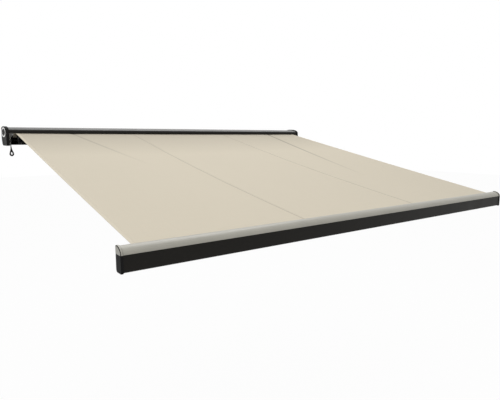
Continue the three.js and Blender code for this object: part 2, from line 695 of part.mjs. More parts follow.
const halfHeight = ARM_HEIGHT / 2;
const lugLow = halfHeight + GAP;
const lugHigh = lugLow + LUG_THICKNESS;
const tongueHalf = halfHeight - LUG_THICKNESS - GAP;
const tongueRadius = ELBOW_OFFSET - STRAP_THICKNESS / 2 - GAP;
const tubeStart = KNUCKLE_LENGTH + GAP;
const tubeEnd = ELBOW_X - ELBOW_LENGTH - GAP;

function armSection(shrink) {
  const [width, height] = [ARM_WIDTH - 2 * shrink, ARM_HEIGHT - 2 * shrink];
  return roundedRectangle(width, height, ARM_ROUNDING - shrink);
}

function armBar(low, high, shrink = 0) {
  return alongX(armSection(shrink), low, high, 3);
}

function pinHoleAt(x, y) {
  return extrude(circleShape(PIN_HOLE, x, y), -100, 100);
}

function buildNearCasting(arm, name) {
  const plugShrink = ARM_WALL + GAP;
  const casting = join(
    extrude(circleShape(KNUCKLE_RADIUS), -halfHeight, halfHeight),
    armBar(0, KNUCKLE_LENGTH),
    armBar(KNUCKLE_LENGTH - 1, KNUCKLE_LENGTH + PLUG_LENGTH, plugShrink),
  );
  addPiece(arm, name, toGeometry(cut(casting, pinHoleAt(0, 0))), DARK_METAL);
}

function buildTube(arm, name) {
  const section = armSection(0);
  section.holes.push(armSection(ARM_WALL));
  addPiece(arm, name, alongX(section, tubeStart, tubeEnd, 3), ANTHRACITE);
}

// The web from a casting's solid end to its eye, on the tube's own side of the pivot
function elbowWeb(own, low, high) {
  const web = shapeOf([
    [ELBOW_X - ELBOW_ROOM - 3, own * (2 - ELBOW_OFFSET)],
    [ELBOW_X - ELBOW_ROOM - 3, (own * ARM_WIDTH) / 2],
    [ELBOW_X + 6, own * (KNUCKLE_RADIUS * 0.75 - ELBOW_OFFSET)],
    [ELBOW_X, -own * ELBOW_OFFSET],
  ]);
  return extrude(web, low, high);
}

function elbowBody() {
  const plugShrink = ARM_WALL + GAP;
  const bodyStart = ELBOW_X - ELBOW_LENGTH;
  return join(
    armBar(bodyStart, ELBOW_X - ELBOW_ROOM),
    armBar(bodyStart - PLUG_LENGTH, bodyStart + 1, plugShrink),
  );
}

// Fork end of the upper arm, with a channel for the strap
function buildElbowFork(arm, name, own) {
  let casting = elbowBody();
  for (const side of [-1, 1]) {
    const low = side > 0 ? tongueHalf + GAP : -halfHeight;
    const high = side > 0 ? halfHeight : -tongueHalf - GAP;
    const lug = extrude(circleShape(KNUCKLE_RADIUS, ELBOW_X, -own * ELBOW_OFFSET), low, high);
    casting = casting.add(toSolid(elbowWeb(own, low, high))).add(toSolid(lug));
  }
  const channel = boxBetween(
    [ELBOW_X - ELBOW_LENGTH - PLUG_LENGTH - 5, ELBOW_X - ELBOW_ROOM + 5],
    [-3, 3],
    [-STRAP_WIDTH / 2 - 1, STRAP_WIDTH / 2 + 1],
  );
  casting = cut(casting, channel, pinHoleAt(ELBOW_X, -own * ELBOW_OFFSET));
  addPiece(arm, name, toGeometry(casting), DARK_METAL);
}

// Tongue end of the forearm; its eye is the drum that the strap runs over
function buildElbowTongue(arm, name, own) {
  const drum = circleShape(tongueRadius, ELBOW_X, -own * ELBOW_OFFSET);
  const casting = elbowBody()
    .add(toSolid(elbowWeb(own, -tongueHalf, tongueHalf)))
    .add(toSolid(extrude(drum, -tongueHalf, tongueHalf)));
  const solid = cut(casting, pinHoleAt(ELBOW_X, -own * ELBOW_OFFSET));
  addPiece(arm, name, toGeometry(solid), DARK_METAL);
}

function pinGeometry(low, high, headAbove, headBelow) {
  const shaftLow = headBelow ? low - PIN_HEAD_HEIGHT / 2 : low;
  const shaftHigh = headAbove ? high + PIN_HEAD_HEIGHT / 2 : high;
  const solids = [extrude(circleShape(PIN_RADIUS), shaftLow, shaftHigh)];
  if (headAbove) {
    solids.push(extrude(circleShape(PIN_HEAD_RADIUS), high, high + PIN_HEAD_HEIGHT));
  }
  if (headBelow) {
    solids.push(extrude(circleShape(PIN_HEAD_RADIUS), low - PIN_HEAD_HEIGHT, low));
  }
  return toGeometry(join(...solids));
}

function buildSpring(arm, prefix) {
  const start = KNUCKLE_LENGTH + PLUG_LENGTH + GAP;
  const end = start + SPRING_LENGTH;
  const bore = SPRING_ROD_RADIUS + GAP;
  const boreStart = end - SPRING_ROD_IN - 40;
  const cylinder = turnedAlongX([
    [start, 0],
    [start, SPRING_RADIUS],
    [end - 4, SPRING_RADIUS],
    [end, SPRING_RADIUS - 3],
    [end, bore],
    [boreStart, bore],
    [boreStart, 0],
  ], 20);
  addPiece(arm, `${prefix}_spring_cylinder`, cylinder, DARK_METAL);

  const rodEnd = end + SPRING_ROD_OUT;
  const rod = turnedAlongX([
    [end - SPRING_ROD_IN, 0],
    [end - SPRING_ROD_IN, SPRING_ROD_RADIUS],
    [rodEnd, SPRING_ROD_RADIUS],
    [rodEnd, SPRING_BLOCK_RADIUS],
    [rodEnd + SPRING_BLOCK_LENGTH, SPRING_BLOCK_RADIUS],
    [rodEnd + SPRING_BLOCK_LENGTH, 0],
  ], 16);
  addPiece(arm, `${prefix}_spring_rod`, rod, STEEL);

  // The strap runs from the rod to the drum, where it is fixed to the forearm's tongue
  const strapStart = rodEnd + SPRING_BLOCK_LENGTH + GAP;
  const strap = boxBetween(
    [strapStart, ELBOW_X - 1],
    [-STRAP_THICKNESS / 2, STRAP_THICKNESS / 2],
    [-STRAP_WIDTH / 2, STRAP_WIDTH / 2],
  );
  addPiece(arm, `${prefix}_elbow_strap`, strap, BLACK_PLASTIC);
}

function buildArm(prefix, side) {
  const hand = -side; // the arm's outer side, seen along its first half
  const direction = side < 0 ? 0 : Math.PI;
  const tubeTilt = Math.atan2(ELBOW_OFFSET, ELBOW_X);

  const shoulder = new THREE.Group();
  shoulder.position.set(side * SHOULDER_X, -SHOULDER_SETBACK, SHOULDER_HEIGHT);
  shoulder.rotation.x = SLOPE;
  awning.add(shoulder);

  const upper = new THREE.Group();
  upper.rotation.z = direction + hand * (tubeTilt - ARM_ANGLE);
  shoulder.add(upper);
  buildNearCasting(upper, `${prefix}_shoulder_knuckle`);
  buildTube(upper, `${prefix}_upper_arm`);
  buildElbowFork(upper, `${prefix}_elbow_fork`, hand);
  buildSpring(upper, prefix);
  const elbowPin = addPiece(upper, `${prefix}_elbow_pin`, pinGeometry(-lugLow, lugLow, true, true), STEEL);
  elbowPin.position.set(ELBOW_X, -hand * ELBOW_OFFSET, 0);

  const forearm = new THREE.Group();
  forearm.position.y = -REACH;
  forearm.rotation.z = direction - hand * (tubeTilt - ARM_ANGLE);
  shoulder.add(forearm);
  buildNearCasting(forearm, `${prefix}_hand_knuckle`);
  buildTube(forearm, `${prefix}_forearm`);
  buildElbowTongue(forearm, `${prefix}_elbow_tongue`, -hand);

  buildShoulderBracket(prefix, side, shoulder);
  buildHandBracket(prefix, side);
}

// A bracket on the shelf carries the shoulder in a fork that is open inwards and forwards
function buildShoulderBracket(prefix, side, shoulder) {
  const outward = (low, high) => (side > 0 ? [low, high] : [-high, -low]);
  const webIn = KNUCKLE_RADIUS + 3;
  const webOut = webIn + LUG_SIDE;
  const fork = [];
  for (const level of [-1, 1]) {
    const heights = level > 0 ? [lugLow, lugHigh] : [-lugHigh, -lugLow];
    fork.push(extrude(circleShape(KNUCKLE_RADIUS), ...heights));
    fork.push(boxBetween(outward(0, webOut), [-KNUCKLE_RADIUS, KNUCKLE_RADIUS], heights));
  }
  fork.push(boxBetween(outward(webIn, webOut), [-KNUCKLE_RADIUS, KNUCKLE_RADIUS], [-lugHigh, lugHigh]));
  for (const piece of fork) {
    piece.rotateX(SLOPE);
    piece.translate(0, -SHOULDER_SETBACK, SHOULDER_HEIGHT);
  }
  const shelfTop = CASSETTE_BOTTOM + CASSETTE_WALL + GAP;
  const wallFace = CASSETTE_BACK - CASSETTE_WALL - GAP;
  const footX = outward(-KNUCKLE_RADIUS, webOut);
  const lowFront = -SHOULDER_SETBACK - BRACKET_FOOT_FRONT;
  const highFront = -SHOULDER_SETBACK + KNUCKLE_RADIUS + 9;
  const foot = [
    boxBetween(footX, [lowFront, wallFace], [shelfTop, shelfTop + BRACKET_FOOT_LOW]),
    boxBetween(footX, [highFront, wallFace], [shelfTop, shelfTop + BRACKET_FOOT_HIGH]),
  ];
  const chamfer = CASSETTE_CHAMFER + (CASSETTE_WALL + GAP) * Math.SQRT2;
  const chamferShape = shapeOf([
    [CASSETTE_BACK - chamfer, CASSETTE_BOTTOM],
    [CASSETTE_BACK, CASSETTE_BOTTOM],
    [CASSETTE_BACK, CASSETTE_BOTTOM + chamfer],
  ]);
  const chamferRoom = alongX(chamferShape, -2 * webOut, 2 * webOut);
  const hole = extrude(circleShape(PIN_HOLE), -lugHigh - PIN_FOOT - GAP, 100);
  hole.rotateX(SLOPE);
  hole.translate(0, -SHOULDER_SETBACK, SHOULDER_HEIGHT);
  const bracket = addPiece(
    awning,
    `${prefix}_shoulder_bracket`,
    toGeometry(cut(join(...fork, ...foot), hole, chamferRoom)),
    DARK_METAL,
  );
  bracket.position.x = side * SHOULDER_X;
  const pin = pinGeometry(-lugHigh - PIN_FOOT, lugHigh + GAP, true, false);
  addPiece(shoulder, `${prefix}_shoulder_pin`, pin, STEEL);
}

// A fork on the rear of the front rail holds the hand end of the forearm
function buildHandBracket(prefix, side) {
  const forkHigh = lugLow + HAND_LUG;
  const fork = [];
  for (const level of [-1, 1]) {
    const heights = level > 0 ? [lugLow, forkHigh] : [-forkHigh, -lugLow];
    fork.push(extrude(circleShape(KNUCKLE_RADIUS), ...heights));
    const front = -HAND_STANDOFF + HAND_PLATE / 2;
    fork.push(boxBetween([-KNUCKLE_RADIUS, KNUCKLE_RADIUS], [front, 0], heights));
  }
  for (const piece of fork) {
    piece.rotateX(SLOPE);
  }
  const plateBack = -HAND_STANDOFF + HAND_PLATE;
  const plate = boxBetween(
    [-KNUCKLE_RADIUS, KNUCKLE_RADIUS],
    [-HAND_STANDOFF + GAP, plateBack],
    [-HAND_BELOW, HAND_ABOVE],
  );
  const trimBelow = boxBetween([-60, 60], [-HAND_STANDOFF, 60], [-100, -HAND_BELOW]);
  const hole = extrude(circleShape(PIN_HOLE), -100, 100);
  hole.rotateX(SLOPE);
  const solid = cut(join(...fork, plate), trimBelow, hole);
  const place = new THREE.Group();
  place.position.set(side * SHOULDER_X, HAND_Y, HAND_Z);
  awning.add(place);
  addPiece(place, `${prefix}_hand_bracket`, toGeometry(solid), DARK_METAL);
  const pin = addPiece(
    place,
    `${prefix}_hand_pin`,
    pinGeometry(1 - forkHigh, forkHigh + GAP, true, false),
    STEEL,
  );
  pin.rotation.x = SLOPE;
}

// Front rail: a hollow bar with a flat face and a rounded crown, and a groove for the fabric

function railOutline(grow, growBack) {
  const low = -RAIL_FACE - grow;
  const back = RAIL_DEPTH + growBack;
  const top = RAIL_CROWN + grow;
  const shape = new THREE.Shape();
  shape.moveTo(-grow, low + 5);
  shape.lineTo(-grow, 0);
  shape.absellipse(RAIL_CROWN_DEPTH, 0, RAIL_CROWN_DEPTH + grow, top, Math.PI, Math.PI / 2, true, 0);
  shape.lineTo(back, top - 3);
  shape.lineTo(back, low + 10);
  shape.lineTo(back - 8, low);
  shape.lineTo(5 - grow, low);
  return shape;
}

function buildFrontRail() {
  const rail = new THREE.Group();
  rail.position.set(0, RAIL_FRONT, RAIL_EDGE_Z);
  awning.add(rail);
  const keder = { y: RAIL_DEPTH - KEDER_INSET, z: RAIL_CROWN - KEDER_DROP };
  const grooveRadius = KEDER_RADIUS + 2 * GAP;
  const bossRadius = grooveRadius + RAIL_WALL + 2;
  const outer = toSolid(alongX(railOutline(0, 0), -RAIL_END, RAIL_END, 6));
  const hollow = toSolid(alongX(railOutline(-RAIL_WALL, -RAIL_WALL), -HALF_WIDTH, HALF_WIDTH, 6));
  const boss = toSolid(alongX(circleShape(bossRadius, keder.y, keder.z), -RAIL_END, RAIL_END));
  const groove = alongX(circleShape(grooveRadius, keder.y, keder.z), -HALF_WIDTH, HALF_WIDTH, 8);
  const slot = boxBetween(
    [-HALF_WIDTH, HALF_WIDTH],
    [keder.y, RAIL_DEPTH + 5],
    [keder.z - KEDER_TAIL / 2 - GAP, keder.z + KEDER_TAIL / 2 + GAP],
  );
  const profile = cut(outer.subtract(hollow).add(boss.intersect(outer)), groove, slot);
  addPiece(rail, "front_rail", toGeometry(profile), ANTHRACITE);

  for (const side of [-1, 1]) {
    const name = side < 0 ? "left" : "right";
    const at = (low, high) => (side > 0 ? [low, high] : [-high, -low]);
    const plate = alongX(railOutline(RAIL_CAP_MARGIN, 0), ...at(RAIL_END + GAP, HALF_WIDTH), 6);
    const plugOutline = railOutline(-RAIL_WALL - GAP, -RAIL_WALL - GAP);
    const plug = toSolid(alongX(plugOutline, ...at(RAIL_END - RAIL_CAP_PLUG, RAIL_END + GAP + 1), 6));
    const bossRoom = circleShape(bossRadius + GAP, keder.y, keder.z);
    const room = alongX(bossRoom, ...at(RAIL_END - RAIL_CAP_PLUG - 5, RAIL_END + GAP));
    const cap = toSolid(plate).add(cut(plug, room));
    addPiece(rail, `${name}_rail_cap`, toGeometry(cap), BLACK_PLASTIC);
  }

  const rod = join(
    alongX(circleShape(KEDER_RADIUS, keder.y, keder.z), -FABRIC_WIDTH / 2, FABRIC_WIDTH / 2, 6),
    boxBetween(
      [-FABRIC_WIDTH / 2, FABRIC_WIDTH / 2],
      [keder.y, RAIL_DEPTH - GAP],
      [keder.z - KEDER_TAIL / 2, keder.z + KEDER_TAIL / 2],
    ),
  );
  addPiece(rail, "fabric_keder", toGeometry(rod), CANVAS);
}

// The cover: one sheet from the top of the roller to the rail's groove, with a gentle sag

function buildCover() {
  const grip = new THREE.Vector2(RAIL_BACK + GAP, RAIL_EDGE_Z + RAIL_CROWN - KEDER_DROP);
  const axis = new THREE.Vector2(ROLLER.y, ROLLER.z);
  const rollRadius = TUBE_RADIUS + GAP + WOUND_THICKNESS + GAP + FABRIC_THICKNESS / 2;
  const toAxis = axis.clone().sub(grip);
  const slope = Math.atan2(toAxis.y, toAxis.x) + Math.asin(rollRadius / toAxis.length());
  const length = Math.sqrt(toAxis.lengthSq() - rollRadius ** 2);
  const columns = 12;
  const rows = 14;
  const positions = [];
  for (const face of [1, -1]) {
    for (let row = 0; row <= rows; row++) {
      for (let column = 0; column <= columns; column++) {
        const t = row / rows;
        const across = (2 * column) / columns - 1;
        const depth = SAG_EDGE + (SAG_MIDDLE - SAG_EDGE) * (1 - across ** 2);
        const lift = (face * FABRIC_THICKNESS) / 2 - 4 * t * (1 - t) * depth;
        const y = grip.x + t * length * Math.cos(slope) - lift * Math.sin(slope);
        const z = grip.y + t * length * Math.sin(slope) + lift * Math.cos(slope);
        positions.push((across * FABRIC_WIDTH) / 2, y, z);
      }
    }
  }
  const stride = columns + 1;
  const layer = stride * (rows + 1);
  const corner = (row, column) => row * stride + column;
  const triangles = [];
  const quad = (a, b, c, d) => triangles.push(a, b, c, a, c, d);
  const edgeQuad = (a, b) => quad(a + layer, b + layer, b, a);
  for (let row = 0; row < rows; row++) {
    for (let column = 0; column < columns; column++) {
      const near = [corner(row, column), corner(row, column + 1)];
      const far = [corner(row + 1, column + 1), corner(row + 1, column)];
      quad(...near, ...far);
      quad(...[...near, ...far].map((index) => index + layer).reverse());
    }
  }
  for (let column = 0; column < columns; column++) {
    edgeQuad(corner(0, column), corner(0, column + 1));
    edgeQuad(corner(rows, column + 1), corner(rows, column));
  }
  for (let row = 0; row < rows; row++) {
    edgeQuad(corner(row + 1, 0), corner(row, 0));
    edgeQuad(corner(row, columns), corner(row + 1, columns));
  }
  const geometry = new THREE.BufferGeometry();
  geometry.setAttribute("position", new THREE.Float32BufferAttribute(positions, 3));
  geometry.setIndex(triangles);
  addPiece(awning, "fabric_cover", geometry, CANVAS);
}

buildProfiles();
buildEnd("left", -1, STUB_SQUARE / Math.SQRT2 + GAP);
buildEnd("right", 1, STUB_RADIUS + GAP + BUSH_WALL + GAP);
buildWallBracket("left", BRACKET_INSET - HALF_WIDTH);
buildWallBracket("centre", 0);
buildWallBracket("right", HALF_WIDTH - BRACKET_INSET);
buildGearbox();
buildRoller();
buildArm("left", -1);
buildArm("right", 1);
buildFrontRail();
buildCover();

export default awning;
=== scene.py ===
# Folding-arm awning with a closed cassette: the looks of its canvas, profiles, castings and fittings.
# Metres. X runs along the wall, +Y points into the wall and +Z is up, as in the frame.
import json
import math
from contextlib import contextmanager

import bmesh
import bpy
from bpy.props import FloatProperty, FloatVectorProperty, PointerProperty
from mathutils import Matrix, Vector


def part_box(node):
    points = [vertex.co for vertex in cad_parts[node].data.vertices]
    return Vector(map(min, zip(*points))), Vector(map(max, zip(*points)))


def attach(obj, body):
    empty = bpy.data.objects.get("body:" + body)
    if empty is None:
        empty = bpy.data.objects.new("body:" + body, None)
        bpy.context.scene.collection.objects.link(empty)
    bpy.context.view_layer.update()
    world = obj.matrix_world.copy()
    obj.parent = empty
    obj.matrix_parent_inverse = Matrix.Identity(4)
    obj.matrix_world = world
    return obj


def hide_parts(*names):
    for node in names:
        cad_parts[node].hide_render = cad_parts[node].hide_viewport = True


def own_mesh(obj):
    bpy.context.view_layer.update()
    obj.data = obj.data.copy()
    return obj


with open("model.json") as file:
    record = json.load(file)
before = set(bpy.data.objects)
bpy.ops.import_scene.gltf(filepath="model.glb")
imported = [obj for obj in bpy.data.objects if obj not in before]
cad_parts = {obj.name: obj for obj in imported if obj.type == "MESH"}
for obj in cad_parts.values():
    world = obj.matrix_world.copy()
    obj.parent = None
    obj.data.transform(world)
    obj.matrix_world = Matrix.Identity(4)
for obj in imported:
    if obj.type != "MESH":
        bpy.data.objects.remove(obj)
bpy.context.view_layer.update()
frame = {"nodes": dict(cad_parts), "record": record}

bl_info = {
    "name": "Folding-arm awning",
    "version": (1, 0, 0),
    "blender": (4, 5, 0),
    "location": "View3D > Sidebar > Awning",
    "description": "Dresses the frame of a folding-arm awning",
    "category": "Object",
}

BODY_OF = {
    node: body
    for body, nodes in frame["record"]["behaviour"]["bodies"].items()
    for node in nodes
}
SIDES = (("left", -1), ("right", 1))

MERGE_DISTANCE = 2e-5
FLAT_ANGLE = math.radians(0.4)
SMOOTH_ANGLE = math.radians(32)
EDGE_ANGLE = math.radians(38)
CANVAS_SMOOTH_ANGLE = math.radians(50)
END_TOLERANCE = 1e-5
NORMAL_WEIGHT = 80


def length(name, description, default):
    """A size of the awning, in metres."""
    return FloatProperty(name=name, description=description, default=default, min=0.0, unit="LENGTH")


def colour(name, description, default):
    """A colour of the awning, linear."""
    return FloatVectorProperty(
        name=name, description=description, default=default, size=3, min=0.0, max=1.0, subtype="COLOR"
    )


class AwningSizes(bpy.types.PropertyGroup):
    """Sizes that the frame doesn't give."""

    cloth: length("Cloth", "Thickness of one layer of the canvas", 0.0006)
    hem: length("Hem", "Width of the hem along each side of the canvas", 0.025)
    seam_lap: length("Seam lap", "Width over which two panels lie on each other", 0.018)
    sag_middle: length("Sag, middle", "Sag of the canvas half way, in its middle", 0.024)
    sag_edge: length("Sag, edge", "Sag of the canvas half way, at its sides", 0.004)
    crease: length("Crease", "Depth of the creases beside the cassette", 0.0045)
    # How far the painted shade beside the roller reaches.
    roller_shade_reach: length("Dulled reach", "How far from the roller the canvas is a little duller", 1.0)
    crease_width: length("Crease width", "Half the width of a crease's shaded line", 0.022)
    thread: length("Thread pitch", "Distance between two threads of the weave", 0.0008)
    stitch: length("Stitch", "Length of one stitch", 0.005)
    profile_rounding: length("Profile edges", "Rounding of the aluminium profiles", 0.0006)
    casting_rounding: length("Casting edges", "Rounding of the castings", 0.0016)
    fitting_rounding: length("Fitting edges", "Rounding of pins, screws and plugs", 0.0006)
    cap_rounding: length("Cap edges", "Rounding of the cassette's end caps", 0.0045)
    profile_wall: length("Profile wall", "Wall of the lid", 0.003)
    crown_band: length("Crown band", "Height of the lid's lighter crown", 0.023)
    rail_face: length("Rail face", "Height of the front rail's flat face", 0.083)
    trim_band: length("Trim band", "Width of the oval trim ring", 0.012)
    thin_rounding: length("Thin edges", "Rounding of straps and gear teeth", 0.0002)
    tube_rounding: length("Arm edges", "Rounding of the ends of the arm tubes", 0.0004)
    eye_rounding: length("Eye edges", "Rounding of the crank eye", 0.0024)
    # Below this height the crank eye is painted near-black, as painted shade.
    eye_head: length("Eye head", "Height of the dark head of the crank eye, below its bright rod", 0.084)
    floor_drop: length("Floor", "Height of the origin above the floor", 2.6)


class AwningColours(bpy.types.PropertyGroup):
    """Colours of the finishes."""

    canvas: colour("Canvas", "Cream canvas", (0.715, 0.645, 0.515))
    thread: colour("Thread", "Sewing thread", (0.52, 0.47, 0.38))
    profile: colour("Profile", "Anthracite powder coat", (0.0115, 0.0105, 0.0088))
    # The two crowns: partly a lighter finish of their own, partly painted reflection of the sky on their
    # tops.
    crown: colour("Crown", "Light grey satin crown of the front rail", (0.40, 0.385, 0.33))
    lid_crown: colour("Lid crown", "Mid-grey satin crown of the lid", (0.13, 0.13, 0.125))
    casting: colour("Casting", "Dark powder coat of the castings", (0.018, 0.019, 0.020))
    cap: colour("Cap", "Moulded end caps", (0.011, 0.011, 0.011))
    trim: colour("Trim", "Bright trim ring", (0.70, 0.70, 0.68))
    steel: colour("Steel", "Zinc-plated steel", (0.48, 0.49, 0.50))
    # Painted shade: the crank eye's head is painted near-black for the shade it hangs in below the cassette.
    eye: colour("Crank eye", "Dark coated steel", (0.014, 0.014, 0.014))
    zinc: colour("Raw zinc", "Gearbox casting and the rod of the crank eye", (0.76, 0.76, 0.74))
    plastic: colour("Plastic", "Black moulded plastic", (0.014, 0.014, 0.015))
    brass: colour("Brass", "Cast brass", (0.58, 0.40, 0.16))
    floor: colour("Floor", "Pale floor", (0.80, 0.80, 0.79))


def sizes():
    return bpy.context.scene.awning_sizes


def colours():
    return bpy.context.scene.awning_colours


# Shader groups and materials

SLOW_TONE_SCALE = 7.0
WORN_FROM, WORN_TO = 0.52, 0.62
WORN_PATCHES = 60.0
DRAWN_STRETCH = (0.015, 1.0, 1.0)
STREAKS = ((260.0, 3.0, 1.0), (3.0, 260.0, 1.0))
STITCH_WIDTH = 0.0012
STITCH_EDGE = 0.0004
STITCH_SHARE = 0.78
NOISE_LOW, NOISE_HIGH = 0.3, 0.7

def add_node(tree, kind, settings=(), **inputs):
    """A node of a tree, with attributes and inputs set by name; an input that is a socket is linked."""
    made = tree.nodes.new(kind)
    for key, value in dict(settings).items():
        setattr(made, key, value)
    for key, value in inputs.items():
        socket = made.inputs[key.replace("_", " ")]
        if isinstance(value, bpy.types.NodeSocket):
            tree.links.new(value, socket)
        else:
            socket.default_value = value
    return made


def math_node(tree, operation, first, second=0.0):
    """One sum on one or two values or sockets."""
    made = tree.nodes.new("ShaderNodeMath")
    made.operation = operation
    for socket, value in zip(made.inputs, (first, second)):
        if isinstance(value, bpy.types.NodeSocket):
            tree.links.new(value, socket)
        else:
            socket.default_value = value
    return made.outputs[0]


def shader_group(name, inputs, outputs):
    """A node group with named sockets, and its input and output nodes."""
    group = bpy.data.node_groups.new(name, "ShaderNodeTree")
    for label, kind, value in inputs:
        socket = group.interface.new_socket(label, in_out="INPUT", socket_type=kind)
        if value is not None:
            socket.default_value = value
    for label in outputs:
        group.interface.new_socket(label, in_out="OUTPUT", socket_type="NodeSocketFloat")
    return group, group.nodes.new("NodeGroupInput").outputs, group.nodes.new("NodeGroupOutput").inputs


def placed(tree, group, **inputs):
    """A group placed in a material, with its inputs set; gives its outputs."""
    return add_node(tree, "ShaderNodeGroup", {"node_tree": group}, **inputs).outputs


def build_grain():
    """Fine grain of a coat or a casting: a height and a slow change of tone."""
    group, given, out = shader_group(
        "Grain",
        [("Vector", "NodeSocketVector", None), ("Scale", "NodeSocketFloat", 900.0)],
        ["Height", "Tone"],
    )
    fine = add_node(group, "ShaderNodeTexNoise", Vector=given["Vector"], Scale=given["Scale"], Detail=3.0)
    group.links.new(fine.outputs[0], out["Height"])
    slow = add_node(group, "ShaderNodeTexNoise", Vector=given["Vector"], Scale=SLOW_TONE_SCALE, Detail=4.0)
    group.links.new(slow.outputs[0], out["Tone"])
    return group


def build_wear():
    """A mask of rubbed edges, broken up so that it isn't even."""
    group, given, out = shader_group(
        "Edge wear",
        [("Vector", "NodeSocketVector", None), ("Amount", "NodeSocketFloat", 0.5)],
        ["Mask"],
    )
    shape = add_node(group, "ShaderNodeNewGeometry")
    edge = add_node(
        group,
        "ShaderNodeMapRange",
        Value=shape.outputs["Pointiness"],
        From_Min=WORN_FROM,
        From_Max=WORN_TO,
    )
    patches = add_node(
        group, "ShaderNodeTexNoise", Vector=given["Vector"], Scale=WORN_PATCHES, Detail=5.0
    )
    broken = math_node(group, "MULTIPLY", edge.outputs[0], patches.outputs[0])
    group.links.new(math_node(group, "MULTIPLY", broken, given["Amount"]), out["Mask"])
    return group


def build_drawn_lines():
    """Fine lines along X, as on brushed or drawn metal."""
    group, given, out = shader_group(
        "Drawn lines",
        [("Vector", "NodeSocketVector", None), ("Scale", "NodeSocketFloat", 1500.0)],
        ["Height"],
    )
    stretched = add_node(group, "ShaderNodeMapping", Vector=given["Vector"], Scale=DRAWN_STRETCH)
    lines = add_node(
        group, "ShaderNodeTexNoise", Vector=stretched.outputs[0], Scale=given["Scale"], Detail=2.0
    )
    group.links.new(lines.outputs[0], out["Height"])
    return group


def build_weave():
    """Plain weave on flat coordinates in metres: a height, and the tone of uneven threads."""
    group, given, out = shader_group(
        "Plain weave",
        [("Vector", "NodeSocketVector", None), ("Pitch", "NodeSocketFloat", 0.0008)],
        ["Height", "Tone"],
    )
    apart = add_node(group, "ShaderNodeSeparateXYZ", Vector=given["Vector"])
    waves = []
    for axis in ("X", "Y"):
        turns = math_node(group, "DIVIDE", apart.outputs[axis], given["Pitch"])
        angle = math_node(group, "MULTIPLY", turns, math.pi)
        waves.append(math_node(group, "SINE", angle))
    crossing = math_node(group, "MULTIPLY", *waves)
    raised = math_node(group, "MULTIPLY", crossing, 0.5)
    group.links.new(math_node(group, "ADD", raised, 0.5), out["Height"])
    streaks = []
    for stretch in STREAKS:
        scaled = add_node(group, "ShaderNodeMapping", Vector=given["Vector"], Scale=stretch)
        noise = add_node(group, "ShaderNodeTexNoise", Vector=scaled.outputs[0], Scale=1.0, Detail=2.0)
        streaks.append(noise.outputs[0])
    both = math_node(group, "ADD", *streaks)
    group.links.new(math_node(group, "MULTIPLY", both, 0.5), out["Tone"])
    return group


def build_band():
    """A mask of a straight band along V, centred on a place across it, with soft sides."""
    group, given, out = shader_group(
        "Band",
        [
            ("Vector", "NodeSocketVector", None),
            ("Place", "NodeSocketFloat", 0.0),
            ("Width", "NodeSocketFloat", 0.01),
            ("Softness", "NodeSocketFloat", 0.001),
        ],
        ["Mask"],
    )
    apart = add_node(group, "ShaderNodeSeparateXYZ", Vector=given["Vector"])
    away = math_node(group, "ABSOLUTE", math_node(group, "SUBTRACT", apart.outputs["X"], given["Place"]))
    half = math_node(group, "MULTIPLY", given["Width"], 0.5)
    inside = math_node(group, "SUBTRACT", half, away)
    soft = math_node(group, "DIVIDE", inside, given["Softness"])
    held = add_node(group, "ShaderNodeClamp", Value=math_node(group, "ADD", soft, 0.5))
    group.links.new(held.outputs[0], out["Mask"])
    return group


def build_stitches():
    """A mask of one row of stitches along V."""
    group, given, out = shader_group(
        "Stitches",
        [
            ("Vector", "NodeSocketVector", None),
            ("Place", "NodeSocketFloat", 0.0),
            ("Stitch", "NodeSocketFloat", 0.005),
        ],
        ["Mask"],
    )
    row = placed(
        group,
        GROUPS["band"],
        Vector=given["Vector"],
        Place=given["Place"],
        Width=STITCH_WIDTH,
        Softness=STITCH_EDGE,
    )
    apart = add_node(group, "ShaderNodeSeparateXYZ", Vector=given["Vector"])
    count = math_node(group, "DIVIDE", apart.outputs["Y"], given["Stitch"])
    shown = math_node(group, "LESS_THAN", math_node(group, "FRACT", count), STITCH_SHARE)
    group.links.new(math_node(group, "MULTIPLY", row["Mask"], shown), out["Mask"])
    return group


def build_shade_mask():
    """A mask for painted shade along a slanting crease that is sharp at the roller and fades towards the
    front; made wide, it covers the whole width beside the roller.
    """
    group, given, out = shader_group(
        "Crease",
        [
            ("Vector", "NodeSocketVector", None),
            ("Start", "NodeSocketFloat", 0.0),
            ("Slant", "NodeSocketFloat", 0.0),
            ("Roller", "NodeSocketFloat", 1.0),
            ("Reach", "NodeSocketFloat", 1.0),
            ("Width", "NodeSocketFloat", 0.01),
        ],
        ["Mask"],
    )
    apart = add_node(group, "ShaderNodeSeparateXYZ", Vector=given["Vector"])
    from_roller = math_node(group, "SUBTRACT", given["Roller"], apart.outputs["Y"])
    shift = math_node(group, "MULTIPLY", from_roller, given["Slant"])
    line = math_node(group, "ADD", given["Start"], shift)
    away = math_node(group, "ABSOLUTE", math_node(group, "SUBTRACT", apart.outputs["X"], line))
    across = math_node(group, "SUBTRACT", 1.0, math_node(group, "DIVIDE", away, given["Width"]))
    along = math_node(group, "SUBTRACT", 1.0, math_node(group, "DIVIDE", from_roller, given["Reach"]))
    near = add_node(group, "ShaderNodeClamp", Value=across)
    faded = add_node(group, "ShaderNodeClamp", Value=along)
    group.links.new(math_node(group, "MULTIPLY", near.outputs[0], faded.outputs[0]), out["Mask"])
    return group


CANVAS_ROUGHNESS = 0.86
CANVAS_SHEEN = 0.12
SHEEN_ROUGHNESS = 0.4
CANVAS_RELIEF = (0.0004, 0.6)
LAP_EDGE = 0.0008
SHADOW_LINE = (0.004, 0.002)
GLINT_LINE = (0.005, 0.003)
HEM_EDGE = 0.001

